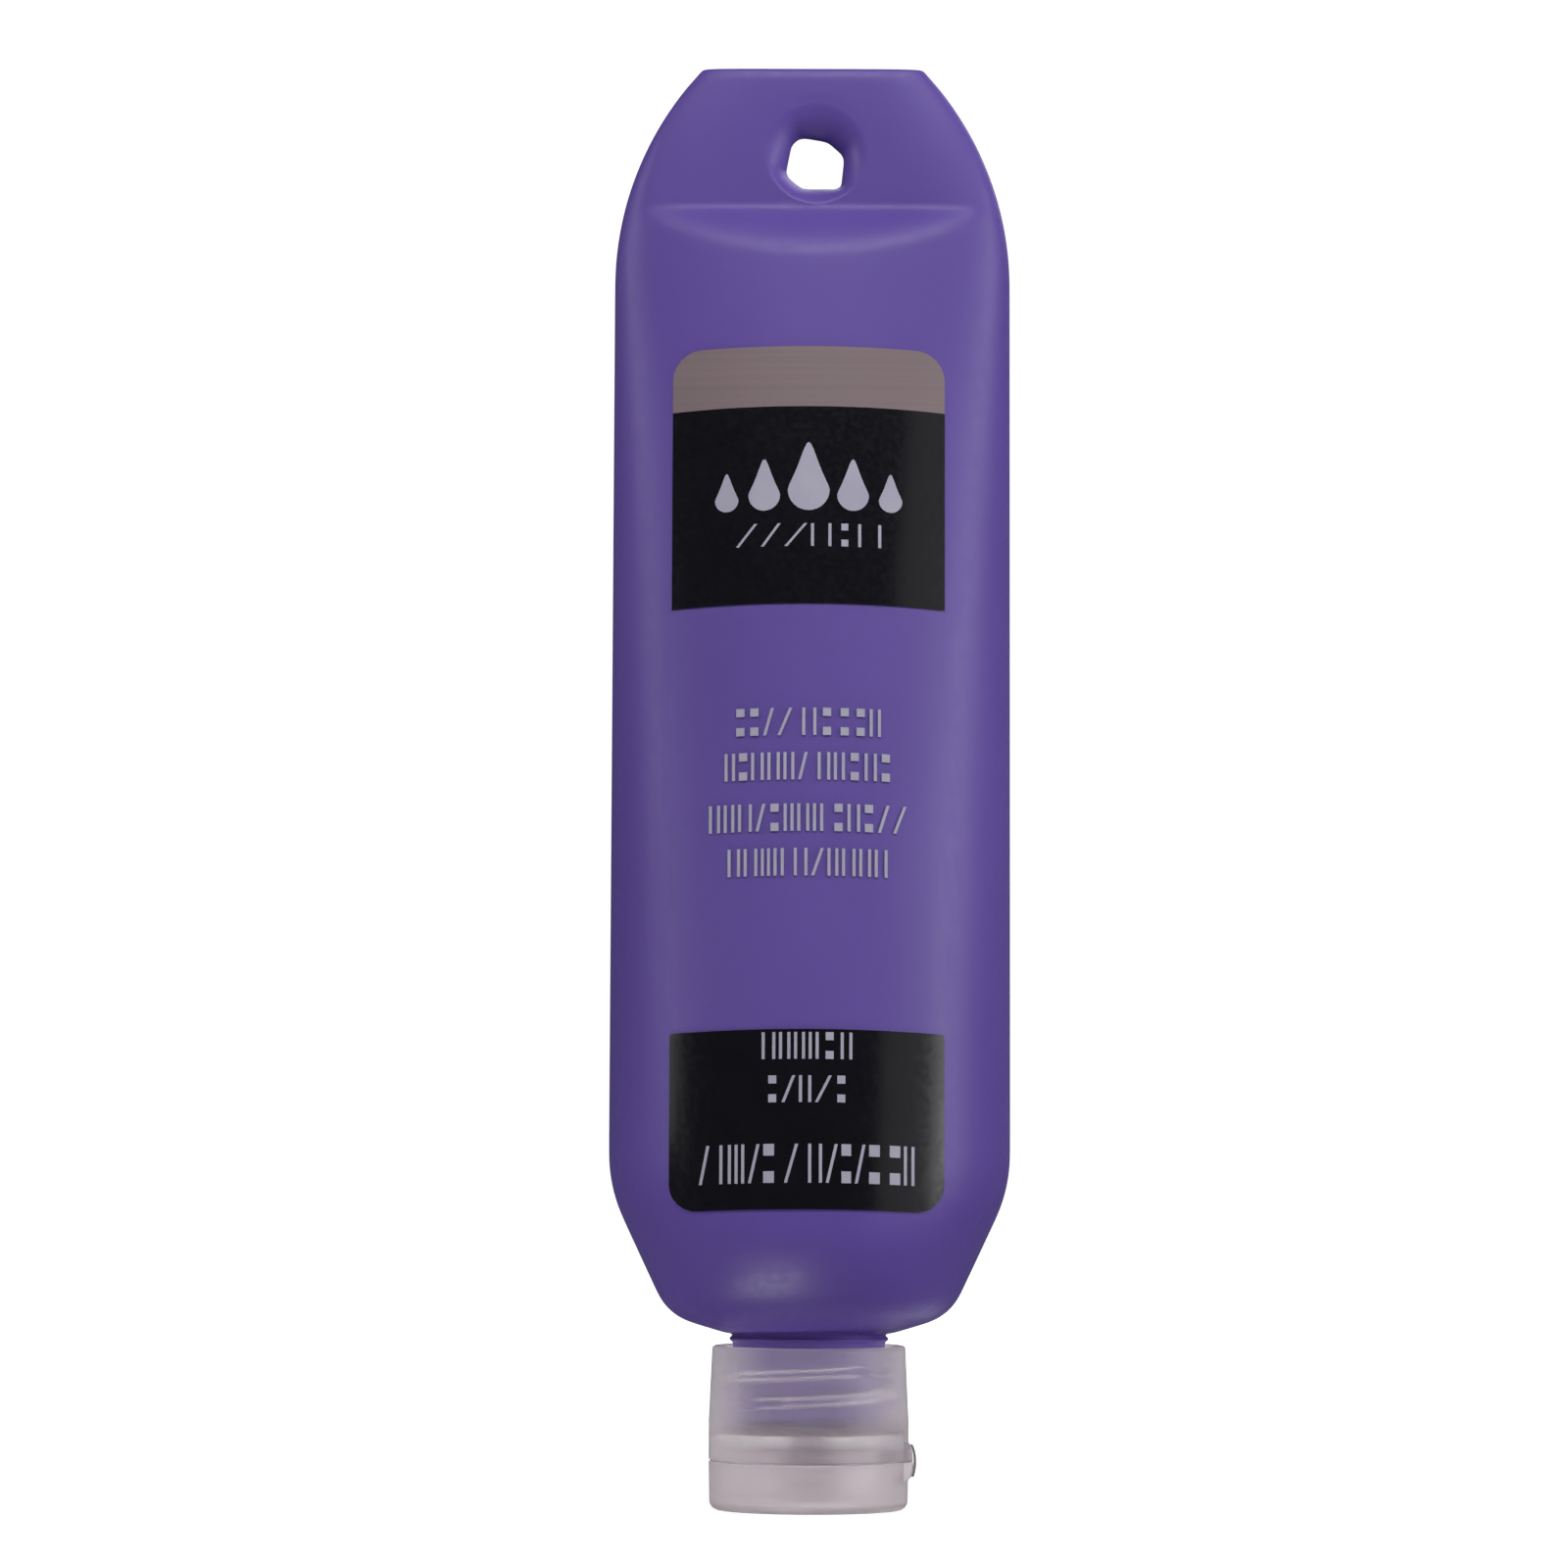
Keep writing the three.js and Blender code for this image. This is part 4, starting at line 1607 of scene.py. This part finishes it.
@dataclass(frozen=True)
class Studio:
    """Camera, lights and the pale sweep."""

    distance: float = 800 * MM
    eye_height: float = 49 * MM
    aim_height: float = 85.7 * MM
    aim_x: float = -3.17 * MM
    roll: float = math.radians(0.2)
    view_width: float = 186 * MM
    sensor: float = 36
    floor_radius: float = 1.6
    sweep_radius: float = 0.9
    wall_top: float = 3.2
    room_light: float = 0.08
    lamps: tuple[Lamp, ...] = (
        Lamp("overhead_softbox", (0.0, -0.42, 0.64), (0.9, 0.25), 1.6, (0, 0, 110 * MM)),
        Lamp("front_fill", (0.10, -0.64, 0.80), (0.5, 0.2), 2.0),
        Lamp("right_softbox", (0.75, -0.24, 0.22), (0.25, 0.6), 2.2),
        Lamp("right_front_softbox", (0.60, -0.50, 0.25), (0.5, 0.9), 0.8),
        Lamp("left_softbox", (-0.78, -0.18, 0.36), (0.25, 0.6), 1.6),
        Lamp("rear_softbox", (0.25, 0.7, 0.6), (0.9, 0.5), 2.6),
        Lamp("low_left_card", (-0.14, -0.19, -0.38), (0.24, 0.10), 0.75, (0, 0, 60 * MM)),
        Lamp("low_rear_card", (0.2, 0.3, -0.3), (0.2, 0.2), 0.16, (0, 0, 60 * MM)),
    )

    def place_camera(self) -> None:
        """Puts the camera in front, a little over the foot and looking slightly up."""
        data = bpy.data.cameras.new("camera")
        camera = bpy.data.objects.new("camera", data)
        bpy.context.scene.collection.objects.link(camera)
        camera.location = (self.aim_x, -self.distance, self.eye_height)
        aim = Vector((self.aim_x, 0, self.aim_height)) - camera.location
        camera.rotation_euler = aim.to_track_quat("-Z", "Y").to_euler()
        camera.rotation_euler.rotate_axis("Z", self.roll)
        data.sensor_width = self.sensor
        data.lens = self.sensor * aim.length / self.view_width
        data.clip_start = 0.05
        data.clip_end = 50
        bpy.context.scene.camera = camera

    def place_sweep(self, finish: StudioPaper) -> None:
        """Lays a round, see-through floor that curves up into a pale wall all round.

        Args:
            finish: The paper.
        """
        rim = self.floor_radius + self.sweep_radius
        outline = line((0, 0), (self.floor_radius, 0), 0.4)
        centre = (self.floor_radius, self.sweep_radius)
        outline += arc(centre, self.sweep_radius, -math.pi / 2, 0, 12)[1:]
        outline += [(rim, self.wall_top)]
        mesh = spun(outline, 64)
        bmesh.ops.reverse_faces(mesh, faces=mesh.faces)
        sweep = finish_object("sweep", mesh, finish.build())
        sweep.visible_diffuse = False
        sweep.visible_glossy = False
        sweep.visible_shadow = False

    def hang(self, lamp: Lamp) -> None:
        """Hangs one softbox, which the camera doesn't see.

        Args:
            lamp: The softbox.
        """
        data = bpy.data.lights.new(lamp.name, "AREA")
        data.shape = "RECTANGLE"
        data.size, data.size_y = lamp.size
        data.energy = lamp.power
        item = bpy.data.objects.new(lamp.name, data)
        bpy.context.scene.collection.objects.link(item)
        item.location = lamp.spot
        item.visible_camera = False
        aim = Vector(lamp.target) - Vector(lamp.spot)
        item.rotation_euler = aim.to_track_quat("-Z", "Y").to_euler()

    def light(self) -> None:
        """Hangs the softboxes and sets the room's own light."""
        for lamp in self.lamps:
            self.hang(lamp)
        world = bpy.data.worlds.new("room")
        bpy.context.scene.world = world
        world.use_nodes = True
        background = world.node_tree.nodes["Background"]
        background.inputs["Color"].default_value = (1, 1, 1, 1)
        background.inputs["Strength"].default_value = self.room_light


def set_view() -> None:
    """Shows colours as they are lit, without a film curve."""
    bpy.context.scene.view_settings.view_transform = "Standard"
    bpy.context.scene.view_settings.look = "None"


# ---- Assembly ----


@dataclass(frozen=True)
class Workshop:
    """Builds the pieces in order and fixes each to its body, all but the hinge strap."""

    bend_reach: float = 1.0 * MM
    front_rows: tuple[MarkRow, ...] = (
        MarkRow(114.3, 17, 2.7, (6,)),
        MarkRow(92.3, 17, 3.2, (4, 5)),
        MarkRow(87.1, 19.4, 3.2, (6, 5)),
        MarkRow(81.1, 23, 3.2, (8, 5)),
        MarkRow(75.9, 18.6, 3.2, (4, 6)),
        MarkRow(54.6, 10.5, 3.1, (6,)),
        MarkRow(49.6, 9.3, 3.1, (5,)),
        MarkRow(41.0, 25, 4.5, (1, 4, 1, 5, 2)),
    )
    back_rows: tuple[MarkRow, ...] = (
        MarkRow(123.5, 22, 2.2, (5, 4, 6)),
        MarkRow(119.5, 25, 2.2, (7, 3, 7)),
        MarkRow(115.5, 24, 2.2, (4, 8, 4)),
        MarkRow(111.5, 18, 2.2, (6, 6)),
        MarkRow(97, 25, 2, (6, 5, 7)),
        MarkRow(93, 26, 2, (4, 9, 5)),
        MarkRow(89, 25, 2, (8, 3, 6)),
        MarkRow(85, 26, 2, (5, 7, 6)),
        MarkRow(81, 19, 2, (7, 6)),
        MarkRow(72, 26, 2, (5, 6, 7)),
        MarkRow(68, 25, 2, (9, 3, 5)),
        MarkRow(64, 16, 2, (5, 6)),
        MarkRow(50.5, 22, 2.2, (6, 3, 5)),
        MarkRow(46, 24, 2.2, (4, 7, 5)),
        MarkRow(41.5, 18, 2.2, (8, 4)),
    )

    def fix(self, item: Item, body: str, nodes: Sequence[str] = (), slot: str = "") -> None:
        """Fixes a piece to its body, and hides the frame's solids that it replaces.

        Args:
            item: The piece.
            body: The body that it rides on.
            nodes: The frame's solids that it replaces.
            slot: Not used.
        """
        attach(item, body)
        self.sign_off(item, nodes)

    def sign_off(self, item: Item, nodes: Sequence[str]) -> None:
        """Hides the frame's solids that a piece replaces, and logs its vertex count.

        Args:
            item: The piece.
            nodes: The frame's solids that it replaces.
        """
        if nodes:
            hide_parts(*nodes)
        LOG.info("%s: %d vertices", item.name, len(item.data.vertices))

    def build_bottle(self) -> BottleForm:
        """Builds the bottle and the paint.

        Returns:
            The bottle's shape, which the labels follow.
        """
        low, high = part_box("bottle")
        bottle = Bottle(BottleForm(top=high.z, land=low.z))
        self.fix(bottle.build(SatinPolyethylene()), "bottle", ["bottle"], "bottle_plastic")
        self.fix(bottle.build_paint(WetPaint()), "bottle", ["paint_fill"], "paint")
        return bottle.form

    def build_labels(self, form: BottleForm) -> None:
        """Builds both labels.

        Args:
            form: The bottle's shape.
        """
        tan = PrintedInk(
            "tan_ink", (0.270, 0.204, 0.217), (0.236, 0.178, 0.192), streaks=(0.02, 0.02, 5.5)
        ).build()
        black = PrintedInk(
            "black_ink", (0.0045, 0.004, 0.0075), (0.0055, 0.005, 0.009), roughness=0.2, coat=0.0
        ).build()
        pale = PrintedInk("pale_ink", (0.50, 0.48, 0.60), (0.46, 0.44, 0.56), 0.45, 0.1).build()
        for side, rows, seed in ((Side.FRONT, self.front_rows, 4), (Side.BACK, self.back_rows, 11)):
            label = Label(form, side, rows, seed)
            name = side.name.lower()
            film = label.build_film(f"{name}_label_film", ClearFilm())
            self.fix(film, "bottle", [f"{name}_label"], "label_film")
            self.fix(label.build_band(f"{name}_label_band", tan), "bottle")
            self.fix(label.build_panels(f"{name}_label_panels", black), "bottle", (), "label_film")
            self.fix(label.build_marks(f"{name}_label_marks", pale), "bottle")

    def build_cap(self) -> None:
        """Builds the cap, its lid, the strap and the liner."""
        cap = FlipTopCap(top=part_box("cap_base")[1].z, lid_foot=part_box("cap_lid")[0].z)
        plastic = FrostedPolypropylene().build()
        # The lid's copy of the cap plastic is less clear because its wall is thicker. Its lighter
        # colour is painted light, for the light that the lid catches.
        thick_lit_plastic = FrostedPolypropylene(
            colour=(0.86, 0.80, 0.83),
            cloudy_colour=(0.82, 0.76, 0.79),
            clarity=0.72,
            name="frosted_polypropylene_thick_lit",
        ).build()
        self.fix(cap.build_base(plastic), "cap", ["cap_base"], "cap_plastic")
        self.fix(cap.build_lid(thick_lit_plastic), "lid", ["cap_lid"], "cap_plastic")
        strap = cap.build_strap(plastic)
        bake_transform(strap)
        self.sign_off(strap, ["living_hinge"])
        self.fix(cap.build_liner(LinerFoamAndShade()), "liner", ["seal_liner"], "liner_foam")


def main() -> None:
    """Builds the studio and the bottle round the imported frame."""
    logging.basicConfig(level=logging.INFO, format="%(name)s: %(message)s")
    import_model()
    studio = Studio()
    studio.place_camera()
    studio.place_sweep(StudioPaper())
    studio.light()
    set_view()
    workshop = Workshop()
    form = workshop.build_bottle()
    workshop.build_labels(form)
    workshop.build_cap()


if __name__ == "__main__":
    main()
